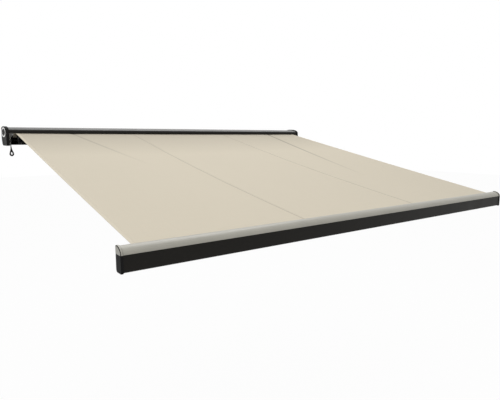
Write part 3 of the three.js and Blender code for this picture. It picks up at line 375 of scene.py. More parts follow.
# Marks on the canvas. In a pair, the first is how strongly the mark shows. The tone is its
# lightness as a share of the plain cloth's.
# Painted shade on the doubled cloth of a lap, a painted shadow line at one side of it and a painted
# highlight line at the other.
LAP_SHADE_TONE = (0.75, 0.90)
LAP_SHADOW = (0.75, 0.55)
LAP_GLINT = (0.6, 1.12)
# Painted light: each hem is painted lighter, for the light passing through the canvas's edge.
HEM_LIGHT_TONE = (0.6, 1.07)
# Painted shade along the creases.
CREASE_SHADE_TONE = 0.24
THREAD_TONES = (0.95, 1.05)
SOILED_TONE = 0.955
SOILING_SCALE = 1.6
LAP_STITCHES = 0.3
HEM_STITCHES = 0.85
WEAVE_RELIEF = 0.2

# Painted shade: the canvas is painted darker beside the roller, over its whole width, for the shade under
# the cassette's lip.
ALL_ACROSS = 1000.0
ROLLER_SHADE_TONE = (0.55, 0.5)

COAT_TONES = (0.86, 1.14)
RUBBED_TONE = 2.2
COAT_SPREAD = (-0.05, 0.06)
COATS = (
    # finish, colour, roughness, metallic, specular, scale of the grain, depth of the grain, wear
    ("anthracite_profile", "profile", 0.40, 0.0, 0.11, 1400.0, 1.5e-5, 0.35),
    # the crowns: a lighter finish, partly painted reflection of the sky
    ("profile_crown", "crown", 0.34, 0.0, 0.55, 1400.0, 1.2e-5, 0.1),
    ("lid_crown", "lid_crown", 0.36, 0.0, 0.4, 1400.0, 1.2e-5, 0.1),
    ("dark_casting", "casting", 0.5, 0.0, 0.5, 520.0, 8e-5, 0.5),
    ("end_cap", "cap", 0.6, 0.0, 0.08, 1100.0, 2.5e-5, 0.35),
    ("raw_zinc", "zinc", 0.45, 0.0, 0.5, 520.0, 5e-5, 0.2),
    ("black_plastic", "plastic", 0.48, 0.0, 0.5, 800.0, 3e-5, 0.35),
    ("steel", "steel", 0.36, 1.0, 0.5, 260.0, 1.5e-5, 0.2),
    # the crank eye's head: painted near-black, as painted shade
    ("crank_eye", "eye", 0.4, 0.0, 0.35, 420.0, 3e-5, 0.35),
    ("brass", "brass", 0.38, 1.0, 0.5, 400.0, 3e-5, 0.35),
)

TRIM_ROUGHNESS = 0.22
BRUSHED_TONES = (0.85, 1.1)
BRUSHED_SPREAD = (-0.04, 0.08)
BRUSHED_SCALE = 1500.0
BRUSHED_PATCHES = 300.0
BRUSHED_RELIEF = 1.5e-5

GROUPS = {}
GROUP_BUILDERS = {
    "grain": build_grain,
    "wear": build_wear,
    "lines": build_drawn_lines,
    "weave": build_weave,
    "band": build_band,
    "stitches": build_stitches,
    "crease": build_shade_mask,
}
MATERIALS = {}


def new_material(name, metallic=0.0, specular=0.5):
    """A material with its tree and its Principled shader."""
    made = bpy.data.materials.new(name)
    made.use_nodes = True
    shader = made.node_tree.nodes["Principled BSDF"]
    shader.inputs["Metallic"].default_value = metallic
    shader.inputs["Specular IOR Level"].default_value = specular
    return made, made.node_tree, shader


def object_place(tree):
    """The place on the piece, in metres."""
    return tree.nodes.new("ShaderNodeTexCoord").outputs["Object"]


def mixed(tree, share, first, second):
    """Two colours mixed by a mask."""
    made = add_node(tree, "ShaderNodeMix", {"data_type": "RGBA"})
    for socket, value in ((made.inputs["Factor"], share), (made.inputs[6], first), (made.inputs[7], second)):
        if isinstance(value, bpy.types.NodeSocket):
            tree.links.new(value, socket)
        else:
            socket.default_value = value if isinstance(value, float) else (*value, 1.0)
    return made.outputs[2]


def shade(base, factor):
    """A colour made lighter or darker."""
    return tuple(min(1.0, part * factor) for part in base)


def roughness_from(tree, shader, tone, roughness, spread):
    """Roughness that changes a little with a tone."""
    changing = add_node(
        tree,
        "ShaderNodeMapRange",
        Value=tone,
        From_Min=NOISE_LOW,
        From_Max=NOISE_HIGH,
        To_Min=roughness + spread[0],
        To_Max=roughness + spread[1],
    )
    tree.links.new(changing.outputs[0], shader.inputs["Roughness"])


def bump_from(tree, shader, height, distance, strength=1.0):
    """A bump from a height."""
    relief = add_node(tree, "ShaderNodeBump", Height=height, Distance=distance, Strength=strength)
    tree.links.new(relief.outputs[0], shader.inputs["Normal"])


def coated(name, base, roughness, metallic, specular, grain, relief, worn):
    """Powder coat, moulded plastic or plating: grain, a slow change of tone and rubbed edges."""
    made, tree, shader = new_material(name, metallic, specular)
    place = object_place(tree)
    grains = placed(tree, GROUPS["grain"], Vector=place, Scale=grain)
    wear = placed(tree, GROUPS["wear"], Vector=place, Amount=worn)
    toned = mixed(tree, grains["Tone"], *(shade(base, tone) for tone in COAT_TONES))
    rubbed = mixed(tree, wear["Mask"], toned, shade(base, RUBBED_TONE))
    tree.links.new(rubbed, shader.inputs["Base Color"])
    roughness_from(tree, shader, grains["Tone"], roughness, COAT_SPREAD)
    bump_from(tree, shader, grains["Height"], relief)
    return made


def brushed(name, base, roughness):
    """Brushed or drawn metal."""
    made, tree, shader = new_material(name, metallic=1.0)
    place = object_place(tree)
    lines = placed(tree, GROUPS["lines"], Vector=place, Scale=BRUSHED_SCALE)
    grains = placed(tree, GROUPS["grain"], Vector=place, Scale=BRUSHED_PATCHES)
    tone = mixed(tree, lines["Height"], *(shade(base, tone) for tone in BRUSHED_TONES))
    tree.links.new(tone, shader.inputs["Base Color"])
    roughness_from(tree, shader, grains["Tone"], roughness, BRUSHED_SPREAD)
    bump_from(tree, shader, lines["Height"], BRUSHED_RELIEF)
    return made


def marked(tree, mask, cloth, base, strength, tone):
    """The cloth with a lighter or darker mark where a mask is."""
    share = math_node(tree, "MULTIPLY", mask, strength)
    return mixed(tree, share, cloth, shade(base, tone))


def canvas_material(seams, half_width, reach):
    """Woven canvas with sewn laps and hems, on the flat coordinates of the cut cloth. Painted shade on the
    laps, along the creases and beside the roller, painted shadow and highlight lines beside the laps, and
    painted light on the hems.
    """
    made, tree, shader = new_material("awning_canvas", specular=0.25)
    shader.inputs["Roughness"].default_value = CANVAS_ROUGHNESS
    shader.inputs["Sheen Weight"].default_value = CANVAS_SHEEN
    shader.inputs["Sheen Roughness"].default_value = SHEEN_ROUGHNESS
    flat = tree.nodes.new("ShaderNodeUVMap")
    flat.uv_map = "cut"
    cut = flat.outputs[0]
    base = tuple(colours().canvas)
    weave = placed(tree, GROUPS["weave"], Vector=cut, Pitch=sizes().thread)
    cloth = mixed(tree, weave["Tone"], *(shade(base, tone) for tone in THREAD_TONES))
    soiling = placed(tree, GROUPS["grain"], Vector=object_place(tree), Scale=SOILING_SCALE)
    cloth = mixed(tree, soiling["Height"], mixed(tree, 0.5, cloth, shade(base, SOILED_TONE)), cloth)
    lap = sizes().seam_lap
    rows = []
    for seam in seams:
        # Each lap: painted shade over the doubled cloth, a painted shadow line on one side and a painted
        # highlight line on the other.
        for place, width, edge, mark in (
            (seam, lap, LAP_EDGE, LAP_SHADE_TONE),
            (seam - lap / 2, *SHADOW_LINE, LAP_SHADOW),
            (seam + lap / 2, *GLINT_LINE, LAP_GLINT),
        ):
            band = placed(tree, GROUPS["band"], Vector=cut, Place=place, Width=width, Softness=edge)
            cloth = marked(tree, band["Mask"], cloth, base, *mark)
        rows += [seam - lap * LAP_STITCHES, seam + lap * LAP_STITCHES]
    # Painted shade along each crease, beside its pressed shape.
    for start, end, share, strength in CREASES:
        crease_shade = placed(
            tree,
            GROUPS["crease"],
            Vector=cut,
            Start=start,
            Slant=(end - start) / (share * reach),
            Roller=reach,
            Reach=share * reach,
            Width=sizes().crease_width,
        )
        cloth = marked(tree, crease_shade["Mask"], cloth, base, strength, CREASE_SHADE_TONE)
    # Painted shade beside the roller, fading towards the front.
    roller_shade = placed(
        tree,
        GROUPS["crease"],
        Vector=cut,
        Roller=reach,
        Reach=sizes().roller_shade_reach,
        Width=ALL_ACROSS,
    )
    cloth = marked(tree, roller_shade["Mask"], cloth, base, *ROLLER_SHADE_TONE)
    hem = sizes().hem
    # Painted light on each hem.
    for side in (-1, 1):
        middle = side * (half_width - hem / 2)
        band = placed(tree, GROUPS["band"], Vector=cut, Place=middle, Width=hem, Softness=HEM_EDGE)
        cloth = marked(tree, band["Mask"], cloth, base, *HEM_LIGHT_TONE)
        rows.append(side * (half_width - hem * HEM_STITCHES))
    height = math_node(tree, "MULTIPLY", weave["Height"], WEAVE_RELIEF)
    for row in rows:
        stitches = placed(tree, GROUPS["stitches"], Vector=cut, Place=row, Stitch=sizes().stitch)
        cloth = mixed(tree, stitches["Mask"], cloth, tuple(colours().thread))
        height = math_node(tree, "ADD", height, stitches["Mask"])
    tree.links.new(cloth, shader.inputs["Base Color"])
    bump_from(tree, shader, height, *CANVAS_RELIEF)
    return made


def build_materials():
    """Every finish of the awning, by the name of its slot in the record."""
    GROUPS.clear()
    MATERIALS.clear()
    for key, build in GROUP_BUILDERS.items():
        GROUPS[key] = build()
    chosen = colours()
    for finish, colour_name, *values in COATS:
        MATERIALS[finish] = coated(finish, tuple(getattr(chosen, colour_name)), *values)
    MATERIALS["cap_trim"] = brushed("cap_trim", tuple(chosen.trim), TRIM_ROUGHNESS)


# Modelling helpers


def select_only(piece):
    """Makes one piece the only selected and the active one."""
    bpy.ops.object.select_all(action="DESELECT")
    piece.select_set(True)
    bpy.context.view_layer.objects.active = piece


@contextmanager
def editing(piece):
    """Edit mode on one piece, and object mode again at the end."""
    select_only(piece)
    bpy.ops.object.mode_set(mode="EDIT")
    yield
    bpy.ops.object.mode_set(mode="OBJECT")


def pick(piece, kind, test):
    """In edit mode, selects only the vertices, edges or faces that pass a test."""
    bpy.ops.mesh.select_mode(type=kind)
    bpy.ops.mesh.select_all(action="DESELECT")
    cage = bmesh.from_edit_mesh(piece.data)
    parts = {"VERT": cage.verts, "EDGE": cage.edges, "FACE": cage.faces}[kind]
    for part in parts:
        if test(part):
            part.select_set(True)
    cage.select_flush_mode()
    bmesh.update_edit_mesh(piece.data)


def settle(piece):
    """Puts a piece's place, turn and size into its mesh."""
    select_only(piece)
    bpy.ops.object.transform_apply(location=True, rotation=True, scale=True)


def shaped_by(piece, kind, **settings):
    """Adds a modifier with its settings and applies it."""
    modifier = piece.modifiers.new(kind.title(), kind)
    for key, value in settings.items():
        setattr(modifier, key, value)
    select_only(piece)
    bpy.ops.object.modifier_apply(modifier=modifier.name)


def softened(piece, rounding, segments=2):
    """Rounds the sharp edges of a piece and shades its flats flat."""
    if rounding > 0:
        shaped_by(
            piece,
            "BEVEL",
            width=rounding,
            segments=segments,
            limit_method="ANGLE",
            angle_limit=EDGE_ANGLE,
            miter_outer="MITER_ARC",
        )
    select_only(piece)
    bpy.ops.object.shade_smooth_by_angle(angle=SMOOTH_ANGLE)
    shaped_by(piece, "WEIGHTED_NORMAL", keep_sharp=True, weight=NORMAL_WEIGHT)


def merged_copy(node, name):
    """A copy of a frame node with its loose triangles merged into whole faces."""
    piece = bpy.data.objects.new(name, frame["nodes"][node].data.copy())
    bpy.context.scene.collection.objects.link(piece)
    piece.data.materials.clear()
    with editing(piece):
        bpy.ops.mesh.select_all(action="SELECT")
        bpy.ops.mesh.remove_doubles(threshold=MERGE_DISTANCE)
        bpy.ops.mesh.dissolve_limited(angle_limit=FLAT_ANGLE)
    return piece


def finished(piece, slot, *nodes):
    """Gives a piece its body, its slot and the nodes it stands for."""
    if not piece.data.materials:
        piece.data.materials.append(MATERIALS[slot])
    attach(piece, BODY_OF[nodes[0]])
    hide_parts(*nodes)
    return piece


def dressed(node, slot, rounding, segments=2):
    """The usual finish of a casting or fitting: the node's own form with rounded edges."""
    piece = merged_copy(node, f"{node}_finished")
    softened(piece, rounding, segments)
    return finished(piece, slot, node)


def drawn_along(name, line, low_x, high_x, closed=False):
    """A sheet from low_x to high_x that is drawn edge by edge along a line of (y, z) points."""
    width = high_x - low_x
    bpy.ops.object.select_all(action="DESELECT")
    bpy.ops.mesh.primitive_plane_add(size=width, location=((low_x + high_x) / 2, *line[0]))
    sheet = bpy.context.object
    sheet.name = name
    points = [*line, line[0]] if closed else line
    with editing(sheet):
        pick(sheet, "VERT", lambda vertex: vertex.co.y > 0)
        bpy.ops.mesh.delete(type="VERT")
        bpy.ops.mesh.select_all(action="SELECT")
        bpy.ops.transform.translate(value=(0, width / 2, 0))
        for before, after in zip(points, points[1:]):
            step = (0, after[0] - before[0], after[1] - before[1])
            bpy.ops.mesh.extrude_region_move(TRANSFORM_OT_translate={"value": step})
        bpy.ops.mesh.select_all(action="SELECT")
        bpy.ops.mesh.remove_doubles(threshold=MERGE_DISTANCE)
    settle(sheet)
    return sheet


def close_ends(piece, places):
    """Fills the open ends of a closed profile at these places along X."""
    with editing(piece):
        for place in places:
            pick(piece, "EDGE", lambda edge: all(abs(v.co.x - place) < END_TOLERANCE for v in edge.verts))
            bpy.ops.mesh.edge_face_add()
        bpy.ops.mesh.select_all(action="SELECT")
        bpy.ops.mesh.normals_make_consistent(inside=False)


def bezier(start, first, second, end, steps):
    """Points on a cubic curve, its start left out."""
    points = []
    for i in range(1, steps + 1):
        t = i / steps
        a, b, c, d = (1 - t) ** 3, 3 * t * (1 - t) ** 2, 3 * t**2 * (1 - t), t**3
        points.append(tuple(a * p + b * q + c * r + d * s for p, q, r, s in zip(start, first, second, end)))
    return points


# Cassette

CROWN_STEPS = 14
CREST_BACK = 0.010
REAR_TOP = (0.006, 0.014)
REAR_HANDLE = 0.045
REAR_SEAM = 0.016
CREST_HANDLE = 0.065
FRONT_HANDLE = (0.006, 0.013)
LIP_HANDLE = 0.016
LID_REAR_EDGE = 0.026
LIP_HEM = 0.008
DOWNWARD = -0.05
TRIM_VERTICES = 96
TRIM_ROUNDING = 0.0007

def crown_points(back, front, top, lip):
    """The cassette's crown from its rear edge to the lid's lip."""
    crest = ((back + front) / 2 + CREST_BACK, top)
    rear = (back - REAR_TOP[0], top - REAR_TOP[1])
    handle = (back - REAR_HANDLE, top)
    rise = bezier(
        rear,
        tuple((p + 2 * q) / 3 for p, q in zip(rear, handle)),
        tuple((p + 2 * q) / 3 for p, q in zip(crest, handle)),
        crest,
        CROWN_STEPS,
    )
    fall = bezier(
        crest,
        (crest[0] - CREST_HANDLE, top),
        (front + FRONT_HANDLE[0], top - FRONT_HANDLE[1]),
        (front, lip + LIP_HANDLE),
        CROWN_STEPS * 2,
    )
    return [(back, top - REAR_SEAM), rear, *rise, *fall, (front, lip)]


def build_lid():
    """The lid: a bent wall with a light crown above a dark lip; the crown's lightness is partly its own
    finish and partly painted reflection of the sky.
    """
    low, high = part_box("cassette_lid")
    wall = sizes().profile_wall
    crown = crown_points(high.y, low.y, high.z, low.z)
    line = [(high.y, high.z - LID_REAR_EDGE), *crown, (low.y + LIP_HEM, low.z)]
    lid = drawn_along("lid", line, low.x, high.x)
    with editing(lid):
        bpy.ops.mesh.select_all(action="SELECT")
        bpy.ops.mesh.normals_make_consistent(inside=False)
    turn_outwards(lid)
    edge = high.z - sizes().crown_band
    lid.data.materials.append(MATERIALS["anthracite_profile"])
    lid.data.materials.append(MATERIALS["lid_crown"])
    split_at_height(lid, edge)
    for face in lid.data.polygons:
        face.material_index = int(face.center.z > edge)
    shaped_by(lid, "SOLIDIFY", thickness=wall, offset=-1.0, use_even_offset=True)
    for face in lid.data.polygons:
        if face.normal.z < DOWNWARD and face.center.z > low.z + wall:
            face.material_index = 0
    softened(lid, sizes().profile_rounding)
    finished(lid, "anthracite_profile", "cassette_lid")


def turn_outwards(sheet):
    """Makes the faces of an open sheet look away from its middle."""
    middle = sum((Vector(corner) for corner in sheet.bound_box), Vector()) / 8
    outwards = sum(face.normal.dot(face.center - middle) * face.area for face in sheet.data.polygons)
    if outwards < 0:
        with editing(sheet):
            bpy.ops.mesh.select_all(action="SELECT")
            bpy.ops.mesh.flip_normals()


def split_at_height(piece, height):
    """Cuts an edge loop into a piece at one height."""
    with editing(piece):
        bpy.ops.mesh.select_all(action="SELECT")
        bpy.ops.mesh.bisect(plane_co=(0, 0, height), plane_no=(0, 0, 1))


def build_end_cap(name):
    """A moulded cap with soft edges, over the end of the profiles."""
    cap = merged_copy(f"{name}_end_cap", f"{name}_cap")
    softened(cap, sizes().cap_rounding, segments=4)
    finished(cap, "end_cap", f"{name}_end_cap")


def build_trim(name, side):
    """The oval trim ring: an ellipse, inset by its band, drawn up and rounded."""
    low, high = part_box(f"{name}_cap_trim")
    middle = (low + high) / 2
    radii = (high - low) / 2
    inner_face = high.x if side < 0 else low.x
    bpy.ops.object.select_all(action="DESELECT")
    bpy.ops.mesh.primitive_circle_add(
        vertices=TRIM_VERTICES,
        radius=1.0,
        fill_type="NGON",
        location=(inner_face, middle.y, middle.z),
        rotation=(0, side * math.pi / 2, 0),
    )
    ring = bpy.context.object
    ring.name = f"{name}_trim_ring"
    ring.scale = (radii.z, radii.y, 1)
    settle(ring)
    with editing(ring):
        bpy.ops.mesh.select_all(action="SELECT")
        bpy.ops.mesh.inset(thickness=sizes().trim_band)
        bpy.ops.mesh.delete(type="ONLY_FACE")
        bpy.ops.mesh.select_all(action="SELECT")
        bpy.ops.mesh.extrude_region_move(TRANSFORM_OT_translate={"value": (side * (high.x - low.x), 0, 0)})
        bpy.ops.mesh.select_all(action="SELECT")
        bpy.ops.mesh.normals_make_consistent(inside=False)
    softened(ring, TRIM_ROUNDING, segments=3)
    finished(ring, "cap_trim", f"{name}_cap_trim")


class AWNING_OT_cassette(bpy.types.Operator):
    """Make the cassette: lid, rear profile with its shelf, end plates, caps, trims and screws"""

    bl_idname = "awning.cassette"
    bl_label = "Cassette"

    def execute(self, context):
        build_lid()
        dressed("cassette_back_profile", "anthracite_profile", sizes().profile_rounding)
        for name, side in SIDES:
            dressed(f"{name}_end_plate", "steel", sizes().profile_rounding)
            build_end_cap(name)
            build_trim(name, side)
            dressed(f"{name}_cap_screw", "steel", sizes().fitting_rounding)
        return {"FINISHED"}


class AWNING_OT_wall_brackets(bpy.types.Operator):
    """Make the wall brackets and their clamp bolts"""

    bl_idname = "awning.wall_brackets"
    bl_label = "Wall brackets"

    def execute(self, context):
        for name in ("left", "centre", "right"):
            dressed(f"{name}_wall_bracket", "dark_casting", sizes().casting_rounding)
            dressed(f"{name}_clamp_bolt", "steel", sizes().fitting_rounding)
        return {"FINISHED"}


class AWNING_OT_winding(bpy.types.Operator):
    """Make the winding gear and the roller with its plugs"""

    bl_idname = "awning.winding"
    bl_label = "Winding gear and roller"

    def execute(self, context):
        for half in ("housing", "cover"):
            casting = merged_copy(f"gearbox_{half}", f"gearbox_{half}_finished")
            casting.data.materials.append(MATERIALS["raw_zinc"])
            softened(casting, sizes().casting_rounding)
            finished(casting, "dark_casting", f"gearbox_{half}")
        dressed("worm_shaft", "steel", 0.0)
        dressed("worm_wheel", "brass", sizes().thin_rounding)
        dressed("roller_tube", "cap_trim", 0.0)
        for node in ("drive_plug", "idler_plug", "idler_bush"):
            dressed(node, "black_plastic", sizes().fitting_rounding)
        return {"FINISHED"}


class AWNING_OT_crank_eye(bpy.types.Operator):
    """Make the eye that the crank hooks into"""

    bl_idname = "awning.crank_eye"
    bl_label = "Crank eye"

    def execute(self, context):
        eye = dressed("crank_eye", "crank_eye", sizes().eye_rounding, segments=3)
        eye.data.materials.append(MATERIALS["raw_zinc"])
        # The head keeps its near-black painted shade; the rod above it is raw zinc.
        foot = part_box("crank_eye")[0].z
        for face in eye.data.polygons:
            face.material_index = int(face.center.z > foot + sizes().eye_head)
        return {"FINISHED"}


class AWNING_OT_arms(bpy.types.Operator):
    """Make the folding arms with their springs, straps, pins and brackets"""

    bl_idname = "awning.arms"
    bl_label = "Folding arms"

    def execute(self, context):
        castings = (
            "shoulder_bracket",
            "shoulder_knuckle",
            "elbow_fork",
            "elbow_tongue",
            "hand_knuckle",
            "hand_bracket",
        )
        for name, _ in SIDES:
            for part in castings:
                dressed(f"{name}_{part}", "dark_casting", sizes().casting_rounding)
            for part in ("upper_arm", "forearm"):
                dressed(f"{name}_{part}", "anthracite_profile", sizes().tube_rounding)
            for part in ("shoulder_pin", "elbow_pin", "hand_pin", "spring_rod"):
                dressed(f"{name}_{part}", "steel", sizes().fitting_rounding)
            dressed(f"{name}_spring_cylinder", "dark_casting", sizes().fitting_rounding)
            dressed(f"{name}_elbow_strap", "black_plastic", sizes().thin_rounding)
        return {"FINISHED"}


# Front rail

ELLIPSE_STEPS = 22
GROOVE_STEPS = 20
RAIL_CROWN_DEPTH = 0.050
RAIL_FOOT = 0.005
RAIL_BACK_TOP = 0.003
RAIL_BACK_FOOT = (0.008, 0.010)
RIM = 0.0008
KEDER_PLACE = (0.009, 0.0124)
KEDER_RADIUS = 0.0048
KEDER_SLOT = 0.0011
CAP_AIR = 0.0003
CAP_EDGE = 0.003
FLANK = 0.5
LEVEL = -0.01
INLAY_SHARE = 0.92
INLAY_SUNK = 0.001
INLAY_PROUD = 0.0004
INLAY_ROUNDING = 0.0002


def rail_outline(low, high, grow, edge, groove=True):
    """The front rail's outline in (y, z), counted from the low front corner upwards."""
    front, back, bottom, top = low.y - grow, high.y, low.z - grow, high.z + grow
    centre = low.y + RAIL_CROWN_DEPTH
    line = [(front, bottom + RAIL_FOOT), (front, edge - RIM)]
    if groove:
        line.append((front + RIM, edge - RIM / 2))
    for i in range(ELLIPSE_STEPS + 1):
        angle = math.pi / 2 * i / ELLIPSE_STEPS
        line.append((centre - (centre - front) * math.cos(angle), edge + (top - edge) * math.sin(angle)))
    line.append((back, top - RAIL_BACK_TOP))
    if groove:
        line += keder_groove(back, high.z)
    line += [(back, bottom + RAIL_BACK_FOOT[1]), (back - RAIL_BACK_FOOT[0], bottom)]
    return [*line, (front + RAIL_FOOT, bottom)]


def keder_groove(back, top):
    """The groove that holds the front edge of the canvas, from its upper lip to its lower one."""
    y, z = back - KEDER_PLACE[0], top - KEDER_PLACE[1]
    opening = math.asin(KEDER_SLOT / KEDER_RADIUS)
    line = [(back, z + KEDER_SLOT)]
    for i in range(GROOVE_STEPS + 1):
        angle = opening + (2 * math.pi - 2 * opening) * i / GROOVE_STEPS
        line.append((y + KEDER_RADIUS * math.cos(angle), z + KEDER_RADIUS * math.sin(angle)))
    return [*line, (back, z - KEDER_SLOT)]


def build_rail():
    """The front rail: one long profile, dark on its face and light on its crown, partly its own finish and
    partly painted reflection of the sky.
    """
    low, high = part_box("front_rail")
    edge = low.z + sizes().rail_face
    rail = drawn_along("rail", rail_outline(low, high, 0.0, edge), low.x, high.x, closed=True)
    close_ends(rail, (low.x, high.x))
    rail.data.materials.append(MATERIALS["anthracite_profile"])
    rail.data.materials.append(MATERIALS["profile_crown"])
    for face in rail.data.polygons:
        on_crown = face.center.z > edge + RIM / 2 and face.center.y < high.y - RAIL_BACK_TOP
        upwards = face.normal.z > LEVEL and abs(face.normal.x) < FLANK
        face.material_index = int(on_crown and upwards)
    softened(rail, 0.0)
    finished(rail, "anthracite_profile", "front_rail")


def build_rail_cap(name, side):
    """A moulded cap: dark, with a light inlay above the level of the face's upper edge."""
    low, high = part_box("front_rail")
    cap_low, cap_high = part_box(f"{name}_rail_cap")
    edge = low.z + sizes().rail_face
    margin = low.y - cap_low.y
    outer = cap_high.x if side > 0 else cap_low.x
    inner = (high.x if side > 0 else low.x) + side * CAP_AIR
    outline = rail_outline(low, high, margin, edge, groove=False)
    cap = drawn_along(f"{name}_rail_end", outline, min(inner, outer), max(inner, outer), closed=True)
    close_ends(cap, (inner, outer))
    split_at_height(cap, edge)
    cap.data.materials.append(MATERIALS["end_cap"])
    cap.data.materials.append(MATERIALS["profile_crown"])
    softened(cap, CAP_EDGE, segments=4)
    for face in cap.data.polygons:
        on_flank = abs(face.center.x - outer) > CAP_EDGE and abs(face.normal.x) < FLANK
        face.material_index = int(on_flank and face.center.z > edge)
    finished(cap, "end_cap", f"{name}_rail_cap")
    front = low.y - margin
    inset = (high.y - front) * (1 - INLAY_SHARE) / 2
    plate = [
        (front + inset + (y - front) * INLAY_SHARE, edge + (z - edge) * INLAY_SHARE)
        for y, z in [*outline, (high.y, edge)]
        if z >= edge
    ]
    ends = (outer - side * INLAY_SUNK, outer + side * INLAY_PROUD)
    inlay = drawn_along(f"{name}_rail_inlay", plate, min(ends), max(ends), closed=True)
    close_ends(inlay, ends)
    inlay.data.materials.append(MATERIALS["profile_crown"])
    softened(inlay, INLAY_ROUNDING)
    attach(inlay, BODY_OF[f"{name}_rail_cap"])


class AWNING_OT_front_rail(bpy.types.Operator):
    """Make the front rail and its caps"""

    bl_idname = "awning.front_rail"
    bl_label = "Front rail"

    def execute(self, context):
        build_rail()
        for name, side in SIDES:
            build_rail_cap(name, side)
        return {"FINISHED"}


# Canvas

COLUMN_STEP = 0.013
CREASE_STEP = 0.006
ROWS = 110
STEP_WIDTH = 0.0006
PANELS = 3
CLOTH_OFF_ROLL = 0.0009
CLOTH_OFF_RAIL = 0.0003
CREASE_FADE = 1.5
CREASE_SPREAD = 0.022
SLOW_WAVE = 0.0016
SLOW_ACROSS = (5.1, 1.3)
SLOW_ALONG = (3.7, 0.4)
PUCKER = 0.0006
PUCKER_SPREAD = 0.05
PUCKERS = 34
CREASES = (
    # where it starts at the lip, where it ends, how far along the canvas it reaches, depth share (also how
    # strongly its painted shade shows)
    (1.275, 0.932, 0.72, 1.0),
    (-1.205, -0.90, 0.48, 0.55),
)


def canvas_ends():
    """The canvas's front and rear edges in (y, z): the rail's groove and the top of the roll."""
    rail_low, rail_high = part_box("front_rail")
    roll_low, roll_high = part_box("fabric_roll")
    front = Vector((rail_high.y + CLOTH_OFF_RAIL, rail_high.z - KEDER_PLACE[1]))
    axis = Vector(((roll_low.y + roll_high.y) / 2, (roll_low.z + roll_high.z) / 2))
    radius = (roll_high.z - roll_low.z) / 2 + CLOTH_OFF_ROLL
    to_axis = axis - front
    slope = math.atan2(to_axis.y, to_axis.x) + math.asin(radius / to_axis.length)
    return front, slope, math.sqrt(to_axis.length_squared - radius**2)


def canvas_columns(half_width, seams):
    """Places across the canvas, close together at hems, laps and creases."""
    marks = [-half_width, half_width]
    for side in (-1, 1):
        inner = side * (half_width - sizes().hem)
        marks += [inner, inner - side * STEP_WIDTH]
    for seam in seams:
        for side in (-1, 1):
            edge = seam + side * sizes().seam_lap / 2
            marks += [edge, edge + side * STEP_WIDTH]
    marks.sort()
    places = []
    for before, after in zip(marks, marks[1:]):
        near_crease = any(min(a, b) < (before + after) / 2 < max(a, b) for a, b, _, _ in CREASES)
        step = CREASE_STEP if near_crease else COLUMN_STEP
        count = max(1, math.ceil((after - before) / step))
        places += [before + (after - before) * i / count for i in range(count)]
    return [*places, marks[-1]]


def crease_depth(x, t):
    """How far the creases press the canvas down at a place; t is 1 at the roller."""
    from_roller = 1 - t
    depth = 0.0
    for start, end, reach, share in CREASES:
        if from_roller < reach:
            along = from_roller / reach
            away = abs(x - (start + (end - start) * along))
            fade = (1 - along) ** CREASE_FADE
            depth += sizes().crease * share * fade * math.exp(-away / CREASE_SPREAD)
    return depth


def canvas_lift(x, t, half_width, seams):
    """Height of the canvas above the straight line from rail to roller."""
    across = x / half_width
    sag = sizes().sag_edge + (sizes().sag_middle - sizes().sag_edge) * (1 - across**2)
    belly = 4 * t * (1 - t)
    slow = SLOW_WAVE * math.sin(SLOW_ACROSS[0] * x + SLOW_ACROSS[1])
    slow *= math.sin(SLOW_ALONG[0] * t + SLOW_ALONG[1])
    pull = sum(math.exp(-(((x - seam) / PUCKER_SPREAD) ** 2)) for seam in seams)
    pucker = PUCKER * pull * math.sin(PUCKERS * t)
    return -sag * belly + (slow + pucker) * belly - crease_depth(x, t)


def build_canvas():
    """The canvas cover: a grid shaped to its sag, with doubled hems and laps."""
    low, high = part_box("fabric_cover")
    half_width = (high.x - low.x) / 2
    seams = [(i / PANELS - 0.5) * 2 * half_width for i in range(1, PANELS)]
    columns = canvas_columns(half_width, seams)
    front, slope, reach = canvas_ends()
    bpy.ops.object.select_all(action="DESELECT")
    bpy.ops.mesh.primitive_grid_add(x_subdivisions=len(columns) - 1, y_subdivisions=ROWS, size=2.0)
    canvas = bpy.context.object
    canvas.name = "canvas"
    settle(canvas)
    cut = canvas.data.uv_layers.new(name="cut")
    doubled = canvas.vertex_groups.new(name="doubled")
    flat = []
    for vertex in canvas.data.vertices:
        column = round((vertex.co.x + 1) / 2 * (len(columns) - 1))
        x, t = columns[column], (vertex.co.y + 1) / 2
        lift = canvas_lift(x, t, half_width, seams)
        y = front.x + t * reach * math.cos(slope) - lift * math.sin(slope)
        z = front.y + t * reach * math.sin(slope) + lift * math.cos(slope)
        flat.append((x, t * reach))
        vertex.co = (x, y, z)
        at_hem = abs(x) > half_width - sizes().hem - STEP_WIDTH / 2
        at_seam = any(abs(x - seam) < sizes().seam_lap / 2 + STEP_WIDTH / 2 for seam in seams)
        doubled.add([vertex.index], 1.0 if at_hem or at_seam else 0.5, "REPLACE")
    for loop in canvas.data.loops:
        cut.data[loop.index].uv = flat[loop.vertex_index]
    while len(canvas.data.uv_layers) > 1:
        canvas.data.uv_layers.remove(canvas.data.uv_layers[0])
    shaped_by(
        canvas,
        "SOLIDIFY",
        thickness=2 * sizes().cloth,
        offset=0.0,
        vertex_group="doubled",
        thickness_vertex_group=0.0,
    )
    select_only(canvas)
    bpy.ops.object.shade_smooth_by_angle(angle=CANVAS_SMOOTH_ANGLE)
    MATERIALS["canvas"] = canvas_material(seams, half_width, reach)
    finished(canvas, "canvas", "fabric_cover")
    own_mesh(canvas)


def flat_map(piece):
    """A flat map in metres on a piece of canvas: across its width, and round its section."""
    cut = piece.data.uv_layers.new(name="cut")
    for loop in piece.data.loops:
        place = piece.data.vertices[loop.vertex_index].co
        cut.data[loop.index].uv = (place.x, place.y + place.z)


